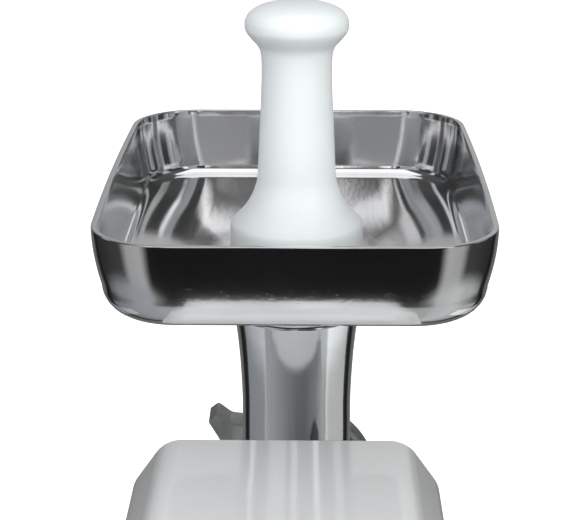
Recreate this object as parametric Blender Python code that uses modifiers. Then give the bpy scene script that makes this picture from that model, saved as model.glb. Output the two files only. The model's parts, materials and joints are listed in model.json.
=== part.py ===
"""Electric meat grinder: gearbox, universal motor and a bayonet-mounted cutting head.

Frame: metres, +Z up, origin on the table below the middle of the machine's box.
The outlet points along -Y and the motor lies towards +Y. The auger turns on a line along Y.
"""

import math

import bmesh
import bpy
from mathutils import Matrix, Vector

# ---------------------------------------------------------------- driving dimensions (metres)
GAP = 0.0003  # clearance between neighbouring pieces

AXIS_Z = 0.128  # height of the auger axis
THROAT_Y = -0.086  # place of the feed tube along Y

# Feed tray
RIM_Z = 0.306
TRAY_HALF_X = 0.081
TRAY_HALF_Y = 0.112
TRAY_BULGE = 0.002  # how far the long sides swell at their middle
TRAY_DEPTH = 0.0362
TRAY_WALL = 0.0024
TRAY_CORNER = 0.030
TRAY_CREASE = 0.0117  # radius outside, where the walls turn into the floor
TRAY_CREASE_INSIDE = 0.0045
TRAY_RISE = 0.0012  # of the floor beside the walls
MOUTH_DROP = 0.0058  # of the floor at the mouth, to which it falls in a shallow funnel
TRAY_DRAFT_X = 0.0035
TRAY_DRAFT_Y = 0.0008
MOUTH_R = 0.0315
NECK_R = 0.029
NECK_BORE_R = 0.0228
JOINT_Z = 0.240  # where the tray's neck stands on the feed tube

# Head casting
TUBE_R = 0.0253
TUBE_BORE_R = 0.0223
SPIGOT_SEAT_R = 0.0254
SPIGOT_SEAT_Z = 0.228
BARREL_R = 0.0285
BARREL_BODY_R = 0.030
BARREL_BORE_R = 0.025
BARREL_REAR_Y = -0.014
REAR_WALL_Y = -0.022
FLANGE_R = 0.038
FLANGE_Y = (-0.037, -0.0333)
SEAT_R = 0.0355
SEAT_BORE_R = 0.0313
SEAT_START_Y = -0.1275
HEAD_FRONT_Y = -0.140
LUG_R = 0.0316
LUG_COUNT = 3
HEAD_TURN = math.radians(45)

# Ring nut
NUT_R = 0.0398
NUT_BORE_R = 0.0362
NUT_LIP_R = 0.027
NUT_Y = (-0.146, -0.129)
NUT_LIP_Y = -0.1411
# outline of a lug as (distance from the axis, offset, corner radius)
NUT_LUG = (
    (0.0375, -0.0095, 0.0),
    (0.0471, -0.0059, 0.004),
    (0.0563, -0.0025, 0.001),
    (0.0552, 0.0032, 0.0015),
    (0.0465, 0.0035, 0.005),
    (0.0375, 0.0095, 0.0),
)
NUT_LUG_ANGLE = math.radians(40)

# Cutting set
PLATE_R = 0.031
PLATE_Y = (-0.1408, -0.1363)
PLATE_CENTRE_R = 0.0044
PLATE_NOTCH = (0.0024, 0.0288)  # half width, and height of its bottom above the axis
PLATE_HOLE_R = 0.0023
PLATE_ROWS = ((0.0105, 6), (0.0170, 10), (0.0235, 14))
KNIFE_Y = (-0.136, -0.1307)
KNIFE_R = 0.0295
SQUARE_DRIVE = 0.0045  # half the width of the square that carries the knife

# Auger and its coupling
AUGER_R = 0.0244
AUGER_REAR_Y = -0.0363
AUGER_FRONT_Y = -0.1275
AUGER_PITCH = 0.029
AUGER_TIP_R = 0.0037
AUGER_HUB_R = 0.0065  # pocket for the coupling's spigot
COUPLING_R = 0.0117
COUPLING_Y = (-0.036, -0.015)
HEX_R = 0.008

# Housing
HOUSING_X = 0.004  # the housing stands a little to one side of the auger axis
HOUSING_HALF_X = 0.0675
HOUSING_TOP = 0.200
HOUSING_BOTTOM = 0.006
HOUSING_FRONT = -0.029
SHELL_REAR = 0.184
COVER_REAR = 0.190
CHAMFER_X = 0.015
CHAMFER_Z = 0.0215
CHAMFER_ROUND = 0.014
WALL = 0.003
BASE_Z = (0.008, 0.011)
FOOT_X = 0.055
FOOT_Y = (0.000, 0.160)
FOOT_R = 0.0092
BOSS_TOP = 0.030
COVER_SCREW_X = 0.054
COVER_SCREW_Z = (0.030, 0.168)
COVER_VENTS = 7
COVER_VENT_HALF = (0.034, 0.0026)
COVER_VENT_Z = 0.070
COVER_VENT_PITCH = 0.011
BASE_VENTS = 6
BASE_VENT_HALF = (0.022, 0.0022)
BASE_VENT_Y = 0.070
BASE_VENT_PITCH = 0.010

# Bayonet socket
COLLAR_Y = (-0.033, -0.012)
COLLAR_LIP_Y = -0.025
COLLAR_FLANGE_R = 0.0398
COLLAR_SLEEVE_R = 0.0360
COLLAR_GROOVE_R = 0.0325
COLLAR_LIP_R = 0.0290

# Screws: head radius, shank radius, head height, shank length
FOOT_SCREW = (0.0042, 0.0020, 0.0025, 0.018)
COVER_SCREW = (0.0031, 0.0015, 0.0018, 0.015)
CASE_SCREW = (0.0028, 0.0015, 0.0020, 0.020)
BOLT = (0.0038, 0.0020, 0.0030)
CLEAR_HOLE_R = 0.0023
PILOT_HOLE_R = 0.0018

# Gear train: output axis above, idler in the middle, rotor axis below
PRESSURE_ANGLE = math.radians(25)
ADDENDUM = 0.8
DEDENDUM = 1.05
BACKLASH = 0.0001
SLOW_MODULE = 0.0016
FAST_MODULE = 0.0012
PINION_TEETH = 10
OUTPUT_TEETH = 40
IDLER_TEETH = 50
IDLER_Z = AXIS_Z - SLOW_MODULE * (OUTPUT_TEETH + PINION_TEETH) / 2
ROTOR_Z = IDLER_Z - FAST_MODULE * (IDLER_TEETH + PINION_TEETH) / 2
OUTPUT_GEAR_Y = (-0.004, 0.010)
IDLER_PINION_Y = (-0.0045, 0.0125)
IDLER_GEAR_Y = (0.012, 0.020)
ROTOR_PINION_Y = (0.0115, 0.0232)
IDLER_PIN_R = 0.004
IDLER_BORE_R = 0.0047

# Gearbox
CASE_HALF_X = 0.044
CASE_Z = (0.016, 0.172)
CASE_Y = (-0.0117, 0.026)
CASE_WALL = 0.0035
COVER_Y = (0.0263, 0.0293)
CASE_SCREW_INSET = 0.0052

# Motor
ROTOR_R = 0.0225
STATOR_BORE_R = 0.0232
STATOR_WINDOW_R = 0.0322
STATOR_HALF = 0.036
STATOR_Y = (0.056, 0.108)
COIL_R = 0.0276
COIL_WIRE_R = 0.0038
COIL_ANGLE = math.radians(20)
SHAFT_R = 0.005
SHAFT_END_Y = 0.146
FAN_Y = (0.034, 0.044)
FAN_R = 0.030
COMMUTATOR_Y = (0.120, 0.134)
COMMUTATOR_R = 0.011
BRACKET_Y = (0.138, 0.142)
BEARING_R = 0.0095
BOLT_OFFSET = 0.029

# Controls
SWITCH_Y = 0.062
SWITCH_Z = 0.150
ROCKER_HALF_Y = 0.0145
ROCKER_HALF_Z = 0.0082
SWITCH_CAVITY_Y = 0.0175
SWITCH_CAVITY_Z = 0.0085
BUTTON_X = -0.034
BUTTON_Z = 0.164
BUTTON_R = 0.009
BUTTON_FRONT_Y = -0.035
GLAND_X = -0.030
GLAND_Z = 0.032
GLAND_END_Y = 0.198
GLAND_R = 0.0085
GLAND_NECK_R = 0.0060
GLAND_BORE_R = 0.0036

# Pusher, heights from the tray's rim
KNOB_R = 0.0228
KNOB_Z = 0.065
KNOB_RISE = 0.0103
KNOB_DROP = 0.011
KNOB_POWER = 2.4
FOOT_DISC_R = 0.0300
HANDLE_BORE_R = 0.0130
PLUNGER_R = 0.0216
PLUNGER_BORE_R = 0.0186
PLUNGER_Z = 0.176

# Facets on a full turn
FINE = 36
MEDIUM = 24
COARSE = 16
SMALL = 8
CORNER_STEPS = 6  # on each rounded corner of the tray

MATERIALS = {
    "polished_aluminium": ((0.80, 0.81, 0.82), 0.12, 1.0),
    "cast_aluminium": ((0.55, 0.56, 0.55), 0.38, 1.0),
    "white_gloss": ((0.86, 0.87, 0.87), 0.18, 0.0),
    "white_satin": ((0.88, 0.89, 0.90), 0.35, 0.0),
    "grey_plastic": ((0.30, 0.31, 0.32), 0.45, 0.0),
    "black_plastic": ((0.04, 0.04, 0.045), 0.40, 0.0),
    "nylon": ((0.78, 0.77, 0.70), 0.50, 0.0),
    "rubber": ((0.06, 0.06, 0.06), 0.80, 0.0),
    "steel": ((0.60, 0.60, 0.61), 0.28, 1.0),
    "lamination": ((0.30, 0.30, 0.32), 0.50, 1.0),
    "bronze": ((0.62, 0.45, 0.22), 0.35, 1.0),
    "copper": ((0.72, 0.36, 0.16), 0.35, 1.0),
    "carbon": ((0.07, 0.07, 0.075), 0.60, 0.0),
}


# ---------------------------------------------------------------- scene and object helpers
def clear_scene():
    for obj in list(bpy.data.objects):
        bpy.data.objects.remove(obj, do_unlink=True)


def new_collection(name):
    collection = bpy.data.collections.new(name)
    bpy.context.scene.collection.children.link(collection)
    return collection


def material(name):
    """The named material, made on first use."""
    found = bpy.data.materials.get(name)
    if found:
        return found
    colour, roughness, metallic = MATERIALS[name]
    made = bpy.data.materials.new(name)
    made.use_nodes = True
    made.diffuse_color = (*colour, 1)
    shader = made.node_tree.nodes["Principled BSDF"]
    shader.inputs["Base Color"].default_value = (*colour, 1)
    shader.inputs["Roughness"].default_value = roughness
    shader.inputs["Metallic"].default_value = metallic
    return made


def add_mesh(name, mesh):
    obj = bpy.data.objects.new(name, mesh)
    PARTS.objects.link(obj)
    return obj


def add_bmesh(name, bm):
    """An object from a bmesh, with its faces turned outward."""
    bmesh.ops.recalc_face_normals(bm, faces=bm.faces)
    mesh = bpy.data.meshes.new(name)
    bm.to_mesh(mesh)
    bm.free()
    return add_mesh(name, mesh)


def axis_empty(name, place):
    """An empty on a joint's axis, which the moving pieces hang from."""
    empty = bpy.data.objects.new(name, None)
    empty.location = place
    empty.empty_display_size = 0.02
    PARTS.objects.link(empty)
    return empty


def hang(obj, empty):
    """Parent without moving."""
    obj.parent = empty
    obj.matrix_parent_inverse = Matrix.Translation(empty.location).inverted()


def dress(obj, material_name):
    obj.data.materials.clear()
    obj.data.materials.append(material(material_name))
    if obj.data.polygons:
        obj.data.shade_smooth()
        obj.data.set_sharp_from_angle(angle=math.radians(35))
    return obj


def make_helper(obj):
    """Keep a cutter or an added shape out of the parts."""
    PARTS.objects.unlink(obj)
    HELPERS.objects.link(obj)
    obj.hide_render = True
    obj.display_type = "WIRE"


def boolean(target, other, operation):
    modifier = target.modifiers.new(other.name, "BOOLEAN")
    modifier.operation = operation
    modifier.solver = "EXACT"
    modifier.object = other
    make_helper(other)


def cut(target, *cutters):
    for cutter in cutters:
        boolean(target, cutter, "DIFFERENCE")
    return target


def join(target, *others):
    for other in others:
        boolean(target, other, "UNION")
    return target


# ---------------------------------------------------------------- shape helpers
def turned(name, profile, centre=(0.0, 0.0), axis="Y", steps=MEDIUM):
    """A turned solid: (radius, place along the axis) points, swept about a line along Y or Z.

    centre is (x, z) of a line along Y, or (x, y) of a line along Z.
    """
    closed = profile[0][0] > 0 or profile[-1][0] > 0
    following = profile[1:] + profile[:1]
    area = sum(a[0] * b[1] - b[0] * a[1] for a, b in zip(profile, following, strict=True))
    points = profile if area < 0 else profile[::-1]
    count = len(points)
    edges = [(i, (i + 1) % count) for i in range(count if closed else count - 1)]
    mesh = bpy.data.meshes.new(name)
    mesh.from_pydata([(r, 0.0, along) for r, along in points], edges, [])
    obj = add_mesh(name, mesh)
    if axis == "Y":
        obj.location = (centre[0], 0.0, centre[1])
        obj.rotation_euler = (math.radians(-90), 0.0, 0.0)
    else:
        obj.location = (centre[0], centre[1], 0.0)
    screw = obj.modifiers.new("turn", "SCREW")
    screw.axis = "Z"
    screw.angle = 2 * math.pi
    screw.steps = steps
    screw.render_steps = steps
    screw.use_merge_vertices = True
    screw.merge_threshold = 1e-5
    return obj


def rod(name, radius, span, centre=(0.0, 0.0), axis="Y", steps=COARSE):
    profile = [(0.0, span[0]), (radius, span[0]), (radius, span[1]), (0.0, span[1])]
    return turned(name, profile, centre, axis, steps)


def ring(name, inner, outer, span, centre=(0.0, 0.0), axis="Y", steps=MEDIUM):
    profile = [(inner, span[0]), (outer, span[0]), (outer, span[1]), (inner, span[1])]
    return turned(name, profile, centre, axis, steps)


FRAMES = {
    "X": Matrix(((0, 0, 1), (1, 0, 0), (0, 1, 0))),
    "Y": Matrix(((1, 0, 0), (0, 0, -1), (0, 1, 0))),
    "Z": Matrix.Identity(3),
}


def prism(name, outlines, axis, span):
    """Flat outlines, extruded over a span of one axis; an outline inside another is a hole.

    Outline points are (y, z) along X, (x, z) along Y and (x, y) along Z.
    """
    curve = bpy.data.curves.new(name, "CURVE")
    curve.dimensions = "2D"
    curve.fill_mode = "BOTH"
    curve.extrude = abs(span[1] - span[0]) / 2
    for outline in outlines:
        spline = curve.splines.new("POLY")
        spline.points.add(len(outline) - 1)
        for point, (u, v) in zip(spline.points, outline, strict=True):
            point.co = (u, v, 0.0, 1.0)
        spline.use_cyclic_u = True
    guide = bpy.data.objects.new(name + "_outline", curve)
    PARTS.objects.link(guide)
    graph = bpy.context.evaluated_depsgraph_get()
    mesh = bpy.data.meshes.new_from_object(guide.evaluated_get(graph))
    bpy.data.objects.remove(guide)
    bpy.data.curves.remove(curve)
    middle = (span[0] + span[1]) / 2
    bm = bmesh.new()
    bm.from_mesh(mesh)
    bpy.data.meshes.remove(mesh)
    bmesh.ops.remove_doubles(bm, verts=bm.verts, dist=1e-6)
    turn = FRAMES[axis].to_4x4()
    shift = Matrix.Translation({"X": (middle, 0, 0), "Y": (0, middle, 0), "Z": (0, 0, middle)}[axis])
    bmesh.ops.transform(bm, matrix=shift @ turn, verts=bm.verts)
    return add_bmesh(name, bm)


def box(name, low, high):
    bm = bmesh.new()
    size = Vector(high) - Vector(low)
    middle = (Vector(high) + Vector(low)) / 2
    matrix = Matrix.Translation(middle) @ Matrix.Diagonal((*size, 1.0))
    bmesh.ops.create_cube(bm, size=1.0, matrix=matrix)
    return add_bmesh(name, bm)


def loft(name, rings, endless=False):
    """Quads between successive rings of the same count; an endless loft joins the last to the first."""
    bm = bmesh.new()
    rows = [[bm.verts.new(point) for point in points] for points in rings]
    pairs = list(zip(rows, rows[1:], strict=False))
    if endless:
        pairs.append((rows[-1], rows[0]))
    else:
        bm.faces.new(rows[0])
        bm.faces.new(rows[-1])
    for row, following in pairs:
        for i in range(len(row)):
            j = (i + 1) % len(row)
            bm.faces.new((row[i], row[j], following[j], following[i]))
    return add_bmesh(name, bm)


def tube(name, points, radius, cyclic=False, sides=2):
    """A round wire along points, with filled ends."""
    curve = bpy.data.curves.new(name, "CURVE")
    curve.dimensions = "3D"
    curve.bevel_depth = radius
    curve.bevel_resolution = sides
    curve.use_fill_caps = not cyclic
    spline = curve.splines.new("POLY")
    spline.points.add(len(points) - 1)
    for point, place in zip(spline.points, points, strict=True):
        point.co = (*place, 1.0)
    spline.use_cyclic_u = cyclic
    obj = bpy.data.objects.new(name, curve)
    PARTS.objects.link(obj)
    return obj


# ---------------------------------------------------------------- outlines
def arc(centre, radius, start, stop, steps):
    """Points on an arc, both ends included, angles in radians."""
    angles = [start + (stop - start) * i / steps for i in range(steps + 1)]
    return [(centre[0] + radius * math.cos(a), centre[1] + radius * math.sin(a)) for a in angles]


def circle(radius, centre=(0.0, 0.0), steps=MEDIUM, phase=0.0):
    return arc(centre, radius, phase, phase + 2 * math.pi * (steps - 1) / steps, steps - 1)


def rounded(corners, steps=4):
    """A polygon whose corners, given as (x, y, radius), are rounded by arcs."""
    outline = []
    for i, (x, y, radius) in enumerate(corners):
        here = Vector((x, y))
        before = (Vector(corners[i - 1][:2]) - here).normalized()
        after = (Vector(corners[(i + 1) % len(corners)][:2]) - here).normalized()
        if radius <= 0:
            outline.append((x, y))
            continue
        half = before.angle(after) / 2
        bisector = (before + after).normalized()
        centre = here + bisector * (radius / math.sin(half))
        first = here + before * (radius / math.tan(half)) - centre
        sweep = first.angle_signed(here + after * (radius / math.tan(half)) - centre)
        start = math.atan2(first.y, first.x)
        outline += arc(centre, radius, start, start - sweep, steps)
    return outline


def rectangle(half_u, half_v, radius, centre=(0.0, 0.0), steps=4):
    u, v = centre
    corners = [
        (u + half_u, v + half_v, radius),
        (u - half_u, v + half_v, radius),
        (u - half_u, v - half_v, radius),
        (u + half_u, v - half_v, radius),
    ]
    return rounded(corners, steps)


def housing_outline(inset, bottom, bottom_radius, steps=4):
    """Cross-section of the housing in (x, z), moved inward by inset."""
    slope = math.hypot(CHAMFER_X, CHAMFER_Z)
    normal = Vector((CHAMFER_Z / slope, CHAMFER_X / slope))
    top_shift = inset * normal.x / (1 + normal.y)
    side_shift = inset * normal.y / (1 + normal.x)
    half = HOUSING_HALF_X - inset
    top = HOUSING_TOP - inset
    shoulder_x = HOUSING_HALF_X - CHAMFER_X - top_shift
    shoulder_z = HOUSING_TOP - CHAMFER_Z - side_shift
    blend = CHAMFER_ROUND - inset
    corners = [
        (HOUSING_X + half, bottom, bottom_radius),
        (HOUSING_X + half, shoulder_z, blend),
        (HOUSING_X + shoulder_x, top, blend),
        (HOUSING_X - shoulder_x, top, blend),
        (HOUSING_X - half, shoulder_z, blend),
        (HOUSING_X - half, bottom, bottom_radius),
    ]
    return rounded(corners, steps)


def polar(radius, angle, centre_z):
    """A point about a line along Y that crosses x = 0 at the height centre_z."""
    return (radius * math.cos(angle), centre_z + radius * math.sin(angle))


def involute(angle):
    return math.tan(angle) - angle


def gear_outline(teeth, module, centre_z, phase, flank_steps):
    """Stub involute gear about (0, centre_z), with a tooth centred on the angle phase."""
    pitch_r = module * teeth / 2
    base_r = pitch_r * math.cos(PRESSURE_ANGLE)
    root_r = pitch_r - DEDENDUM * module
    tip_r = pitch_r + ADDENDUM * module
    start_r = max(base_r, root_r)
    half_at_pitch = math.pi / (2 * teeth) - BACKLASH / pitch_r

    def half_angle(radius):
        return half_at_pitch + involute(PRESSURE_ANGLE) - involute(math.acos(min(1.0, base_r / radius)))

    radii = [start_r + (tip_r - start_r) * i / flank_steps for i in range(flank_steps + 1)]
    flank = [(radius, half_angle(radius)) for radius in radii]
    if root_r < base_r:
        flank.insert(0, (root_r, flank[0][1]))
    outline = []
    for tooth in range(teeth):
        middle = phase + 2 * math.pi * tooth / teeth
        outline += [polar(radius, middle - half, centre_z) for radius, half in flank]
        outline += [polar(radius, middle + half, centre_z) for radius, half in reversed(flank)]
    return outline


# ---------------------------------------------------------------- feed tray and pusher
def tray_ring(inset, z, draft=0.0):
    """One level of the bowl: a rounded rectangle with slightly bulged long sides.

    draft runs from 0 at the rim to 1 where the walls turn into the floor.
    """
    half_x = TRAY_HALF_X - inset - TRAY_DRAFT_X * draft
    half_y = TRAY_HALF_Y - inset - TRAY_DRAFT_Y * draft
    corner = max(TRAY_CORNER - inset, 0.008)
    outline = rectangle(half_x, half_y, corner, steps=CORNER_STEPS)
    points = []
    for i, (x, y) in enumerate(outline):
        following = outline[(i + 1) % len(outline)]
        points.append((x, y))
        if (i + 1) % (CORNER_STEPS + 1) == 0:
            points.append(((x + following[0]) / 2, (y + following[1]) / 2))
    bulge = TRAY_BULGE / half_x
    return [(x * (1 + bulge * (1 - (y / half_y) ** 2)), THROAT_Y + y, z) for x, y in points]


def round_ring(radius, z):
    """A circle about the throat with as many points as a level of the bowl."""
    count = 4 * (CORNER_STEPS + 2)
    turn = 2 * math.pi / count
    return [(x, THROAT_Y + y, z) for x, y in circle(radius, steps=count, phase=turn)]


def bowl_side(offset, crease, rise=0.0):
    """Levels from the rim down to the floor, for a skin that lies offset inside the outer one."""
    wall_bottom = RIM_Z - TRAY_DEPTH + offset + rise + crease
    levels = [tray_ring(offset, RIM_Z)]
    for i in range(4):
        angle = math.radians(90) * i / 3
        inset = offset + crease * (1 - math.cos(angle))
        levels.append(tray_ring(inset, wall_bottom - crease * math.sin(angle), 1.0))
    return levels


def make_tray():
    floor = RIM_Z - TRAY_DEPTH + TRAY_WALL - MOUTH_DROP
    underside = RIM_Z - TRAY_DEPTH - MOUTH_DROP
    spigot_r = SPIGOT_SEAT_R - GAP
    spigot_z = SPIGOT_SEAT_Z + 0.002
    inside = bowl_side(TRAY_WALL, TRAY_CREASE_INSIDE, TRAY_RISE)
    mouth = [
        round_ring(MOUTH_R + 0.004, floor),
        round_ring(MOUTH_R - 0.0015, floor - 0.0012),
        round_ring(MOUTH_R - 0.005, floor - 0.0045),
        round_ring(NECK_BORE_R, floor - 0.010),
        round_ring(NECK_BORE_R, spigot_z),
    ]
    neck = [
        round_ring(spigot_r, spigot_z),
        round_ring(spigot_r, JOINT_Z + GAP),
        round_ring(NECK_R, JOINT_Z + GAP),
        round_ring(NECK_R, JOINT_Z + 0.017),
        round_ring(MOUTH_R, underside - 0.0025),
        round_ring(MOUTH_R + 0.006, underside),
    ]
    outside = bowl_side(0.0, TRAY_CREASE)
    tray = loft("tray", inside + mouth + neck + outside[::-1], endless=True)
    return dress(tray, "polished_aluminium")


def pusher_profile():
    """Outer side of the pusher from its top to the foot of its plunger, then its hollow."""
    knob = []
    for i in range(7):
        angle = math.radians(90 - 90 * i / 6)
        r = KNOB_R * math.cos(angle) ** (2 / KNOB_POWER)
        knob.append((r if i else 0.0, KNOB_Z + KNOB_RISE * math.sin(angle) ** (2 / KNOB_POWER)))
    for i in (1, 2):
        angle = math.radians(25 * i)
        knob.append((KNOB_R * math.cos(angle), KNOB_Z - KNOB_DROP * math.sin(angle)))
    waist = [(0.0157, 0.052), (0.0155, 0.046), (0.0161, 0.028), (0.0174, 0.000)]
    flare = [(0.0180, -0.0060), (0.0203, -0.0125), (0.0244, -0.0185), (0.0285, -0.0230)]
    foot = [(FOOT_DISC_R, -0.0255), (FOOT_DISC_R, -0.0360), (0.0286, -0.0405), (PLUNGER_R, -0.0430)]
    outside = [(r, RIM_Z + z) for r, z in knob + waist + flare + foot] + [(PLUNGER_R, PLUNGER_Z)]
    hollow = [
        (PLUNGER_BORE_R, PLUNGER_Z),
        (PLUNGER_BORE_R, RIM_Z - 0.030),
        (HANDLE_BORE_R, RIM_Z - 0.010),
        (HANDLE_BORE_R, RIM_Z + 0.050),
        (0.0, RIM_Z + 0.058),
    ]
    return outside + hollow


def make_pusher():
    pusher = turned("pusher", pusher_profile(), (0.0, THROAT_Y), "Z", MEDIUM)
    return dress(pusher, "white_satin")


# ---------------------------------------------------------------- head
def make_head_casting():
    """Barrel, feed tube and front seat in one casting, bored right through."""
    barrel = [
        (BARREL_R, BARREL_REAR_Y),
        (BARREL_R, FLANGE_Y[1]),
        (FLANGE_R, FLANGE_Y[1]),
        (FLANGE_R, FLANGE_Y[0]),
        (BARREL_BODY_R, FLANGE_Y[0]),
        (BARREL_BODY_R, -0.114),
        (SEAT_R, -0.120),
        (SEAT_R, HEAD_FRONT_Y),
        (SEAT_BORE_R, HEAD_FRONT_Y),
        (SEAT_BORE_R, SEAT_START_Y),
        (BARREL_BORE_R - 0.005, SEAT_START_Y),
        (BARREL_BORE_R - 0.005, REAR_WALL_Y - 0.003),
        (COUPLING_R + 0.0005, REAR_WALL_Y),
        (COUPLING_R + 0.0005, BARREL_REAR_Y),
    ]
    centre = (0.0, AXIS_Z)
    throat = (0.0, THROAT_Y)
    head = turned("head_casting", barrel, centre, "Y", FINE)
    tube_outside = [
        (0.0, JOINT_Z),
        (NECK_R, JOINT_Z),
        (0.0278, JOINT_Z - 0.009),
        (0.0261, JOINT_Z - 0.028),
        (TUBE_R, JOINT_Z - 0.045),
        (TUBE_R, AXIS_Z),
        (0.0, AXIS_Z),
    ]
    join(head, turned("feed_tube", tube_outside, throat, "Z", FINE))
    for i in range(LUG_COUNT):
        turn = Matrix.Rotation(2 * math.pi * i / LUG_COUNT, 4, "Y")
        lug = box(f"bayonet_lug_{i}", (-0.005, -0.0245, 0.026), (0.005, -0.0200, LUG_R))
        lug.matrix_world = Matrix.Translation((0.0, 0.0, AXIS_Z)) @ turn
        join(head, lug)
    key_low = (-0.002, HEAD_FRONT_Y, AXIS_Z + 0.0295)
    key_high = (0.002, PLATE_Y[1] + GAP, AXIS_Z + 0.033)
    join(head, box("plate_key", key_low, key_high))
    bore_span = (HEAD_FRONT_Y - 0.010, REAR_WALL_Y - 0.003)
    cut(head, rod("barrel_bore", BARREL_BORE_R, bore_span, centre, "Y", FINE))
    tube_bore = [
        (0.0, JOINT_Z + 0.010),
        (SPIGOT_SEAT_R, JOINT_Z + 0.010),
        (SPIGOT_SEAT_R, SPIGOT_SEAT_Z),
        (TUBE_BORE_R, SPIGOT_SEAT_Z - 0.002),
        (TUBE_BORE_R, AXIS_Z + 0.002),
        (0.0, AXIS_Z + 0.002),
    ]
    cut(head, turned("feed_tube_bore", tube_bore, throat, "Z", FINE))
    return dress(head, "polished_aluminium")


def make_ring_nut():
    profile = [
        (0.0382, NUT_Y[1]),
        (NUT_R, NUT_Y[1] - 0.0018),
        (NUT_R, NUT_Y[0] + 0.003),
        (0.0368, NUT_Y[0]),
        (NUT_LIP_R, NUT_Y[0]),
        (NUT_LIP_R, NUT_LIP_Y),
        (NUT_BORE_R, NUT_LIP_Y),
        (NUT_BORE_R, NUT_Y[1]),
    ]
    nut = turned("ring_nut", profile, (0.0, AXIS_Z), "Y", FINE)
    for side in (0, 1):
        outline = rounded(NUT_LUG)
        lug = prism(f"ring_nut_lug_{side}", [outline], "Y", (NUT_Y[0] + 0.0005, NUT_Y[1] - 0.0005))
        turn = Matrix.Rotation(-NUT_LUG_ANGLE - math.pi * side, 4, "Y")
        lug.matrix_world = Matrix.Translation((0.0, 0.0, AXIS_Z)) @ turn
        join(nut, lug)
    return dress(nut, "cast_aluminium")


def make_cutting_plate():
    """Round plate with rings of holes, a centre hole and a notch for the seat's key."""
    notch, depth = PLATE_NOTCH
    rim = arc((0.0, AXIS_Z), PLATE_R, math.radians(97), math.radians(443), 44)
    outlines = [rim + [(notch, AXIS_Z + depth), (-notch, AXIS_Z + depth)]]
    outlines.append(circle(PLATE_CENTRE_R, (0.0, AXIS_Z), SMALL))
    for radius, count in PLATE_ROWS:
        for i in range(count):
            centre = polar(radius, 2 * math.pi * (i + 0.5) / count, AXIS_Z)
            outlines.append(circle(PLATE_HOLE_R, centre, SMALL))
    return dress(prism("cutting_plate", outlines, "Y", PLATE_Y), "steel")


# ---------------------------------------------------------------- auger, coupling and knife
def make_auger():
    core = [
        (0.0, AUGER_REAR_Y + AUGER_HUB_R),
        (AUGER_HUB_R, AUGER_REAR_Y + AUGER_HUB_R),
        (AUGER_HUB_R, AUGER_REAR_Y),
        (0.0112, AUGER_REAR_Y),
        (0.0130, AUGER_FRONT_Y - 0.0015),
        (0.0080, AUGER_FRONT_Y - 0.0025),
        (0.0, AUGER_FRONT_Y - 0.0025),
    ]
    auger = turned("auger", core, (0.0, AXIS_Z), "Y", COARSE)
    root, half_root, half_tip = 0.0090, 0.0028, 0.0014
    length = AUGER_REAR_Y - AUGER_FRONT_Y - 2 * half_root
    steps_per_turn = 20
    steps = round(steps_per_turn * length / AUGER_PITCH)
    rings = []
    for i in range(steps + 1):
        angle = 2 * math.pi * i / steps_per_turn
        y = AUGER_REAR_Y - half_root - length * i / steps
        corners = ((root, half_root), (AUGER_R, half_tip), (AUGER_R, -half_tip), (root, -half_root))
        rings.append([(r * math.cos(angle), y + dy, AXIS_Z + r * math.sin(angle)) for r, dy in corners])
    join(auger, loft("auger_flight", rings))
    square = rectangle(SQUARE_DRIVE, SQUARE_DRIVE, 0.0008, (0.0, AXIS_Z), 1)
    join(auger, prism("auger_square", [square], "Y", (PLATE_Y[1] + 0.0002, AUGER_FRONT_Y)))
    tip_span = (PLATE_Y[0], PLATE_Y[1] + 0.002)
    join(auger, rod("auger_tip", AUGER_TIP_R, tip_span, (0.0, AXIS_Z), "Y", SMALL))
    cut(auger, rod("auger_screw_hole", 0.0022, (-0.041, -0.025), (0.0, AXIS_Z), "Y", SMALL))
    return dress(auger, "cast_aluminium")


def make_auger_coupling():
    """Plastic drive piece on the auger's rear end, which shears if the auger jams."""
    profile = [
        (COUPLING_R - 0.0008, COUPLING_Y[1]),
        (COUPLING_R, COUPLING_Y[1] - 0.0008),
        (COUPLING_R, COUPLING_Y[0]),
        (0.0068, COUPLING_Y[0]),
        (0.0068, -0.0295),
        (0.0022, -0.0295),
        (0.0022, -0.0270),
        (0.0060, -0.0270),
        (0.0060, COUPLING_Y[1]),
    ]
    coupling = turned("auger_coupling", profile, (0.0, AXIS_Z), "Y", COARSE)
    socket = circle(HEX_R + 0.0005, (0.0, AXIS_Z), 6)
    cut(coupling, prism("hex_socket", [socket], "Y", (-0.0270, COUPLING_Y[1] + 0.001)))
    return dress(coupling, "nylon")


def make_coupling_screw():
    profile = [
        (0.0, -0.0243),
        (0.0042, -0.0243),
        (0.0042, -0.0267),
        (0.0019, -0.0267),
        (0.0019, -0.0380),
        (0.0, -0.0390),
    ]
    return dress(turned("coupling_screw", profile, (0.0, AXIS_Z), "Y", SMALL), "steel")


def make_knife():
    """Four swept blades about a hub with a square hole."""
    outline = []
    for i in range(4):
        base = math.pi / 2 * i
        blade = ((0.0085, -0.62), (0.0130, -0.36), (KNIFE_R, -0.16), (KNIFE_R, 0.10), (0.0130, 0.30))
        outline += [polar(radius, base + angle, AXIS_Z) for radius, angle in blade]
    hole = rectangle(SQUARE_DRIVE + GAP, SQUARE_DRIVE + GAP, 0.0006, (0.0, AXIS_Z), 1)
    return dress(prism("knife", [outline, hole], "Y", KNIFE_Y), "steel")


# ---------------------------------------------------------------- housing
def boss_outline(x, y):
    """A screw boss with a rib that runs out to the housing's side wall."""
    side = 1 if x > HOUSING_X else -1
    wall = HOUSING_X + side * (HOUSING_HALF_X - WALL / 2)
    radius = 0.006
    half_rib = 0.002
    start = math.asin(half_rib / radius)
    points = arc((x, y), radius, start, 2 * math.pi - start, 14)
    points = [(x + side * (u - x), v) for u, v in points]
    return points + [(wall, y - half_rib), (wall, y + half_rib)]


def foot_places():
    return [(HOUSING_X + side * FOOT_X, y) for side in (-1, 1) for y in FOOT_Y]


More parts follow.
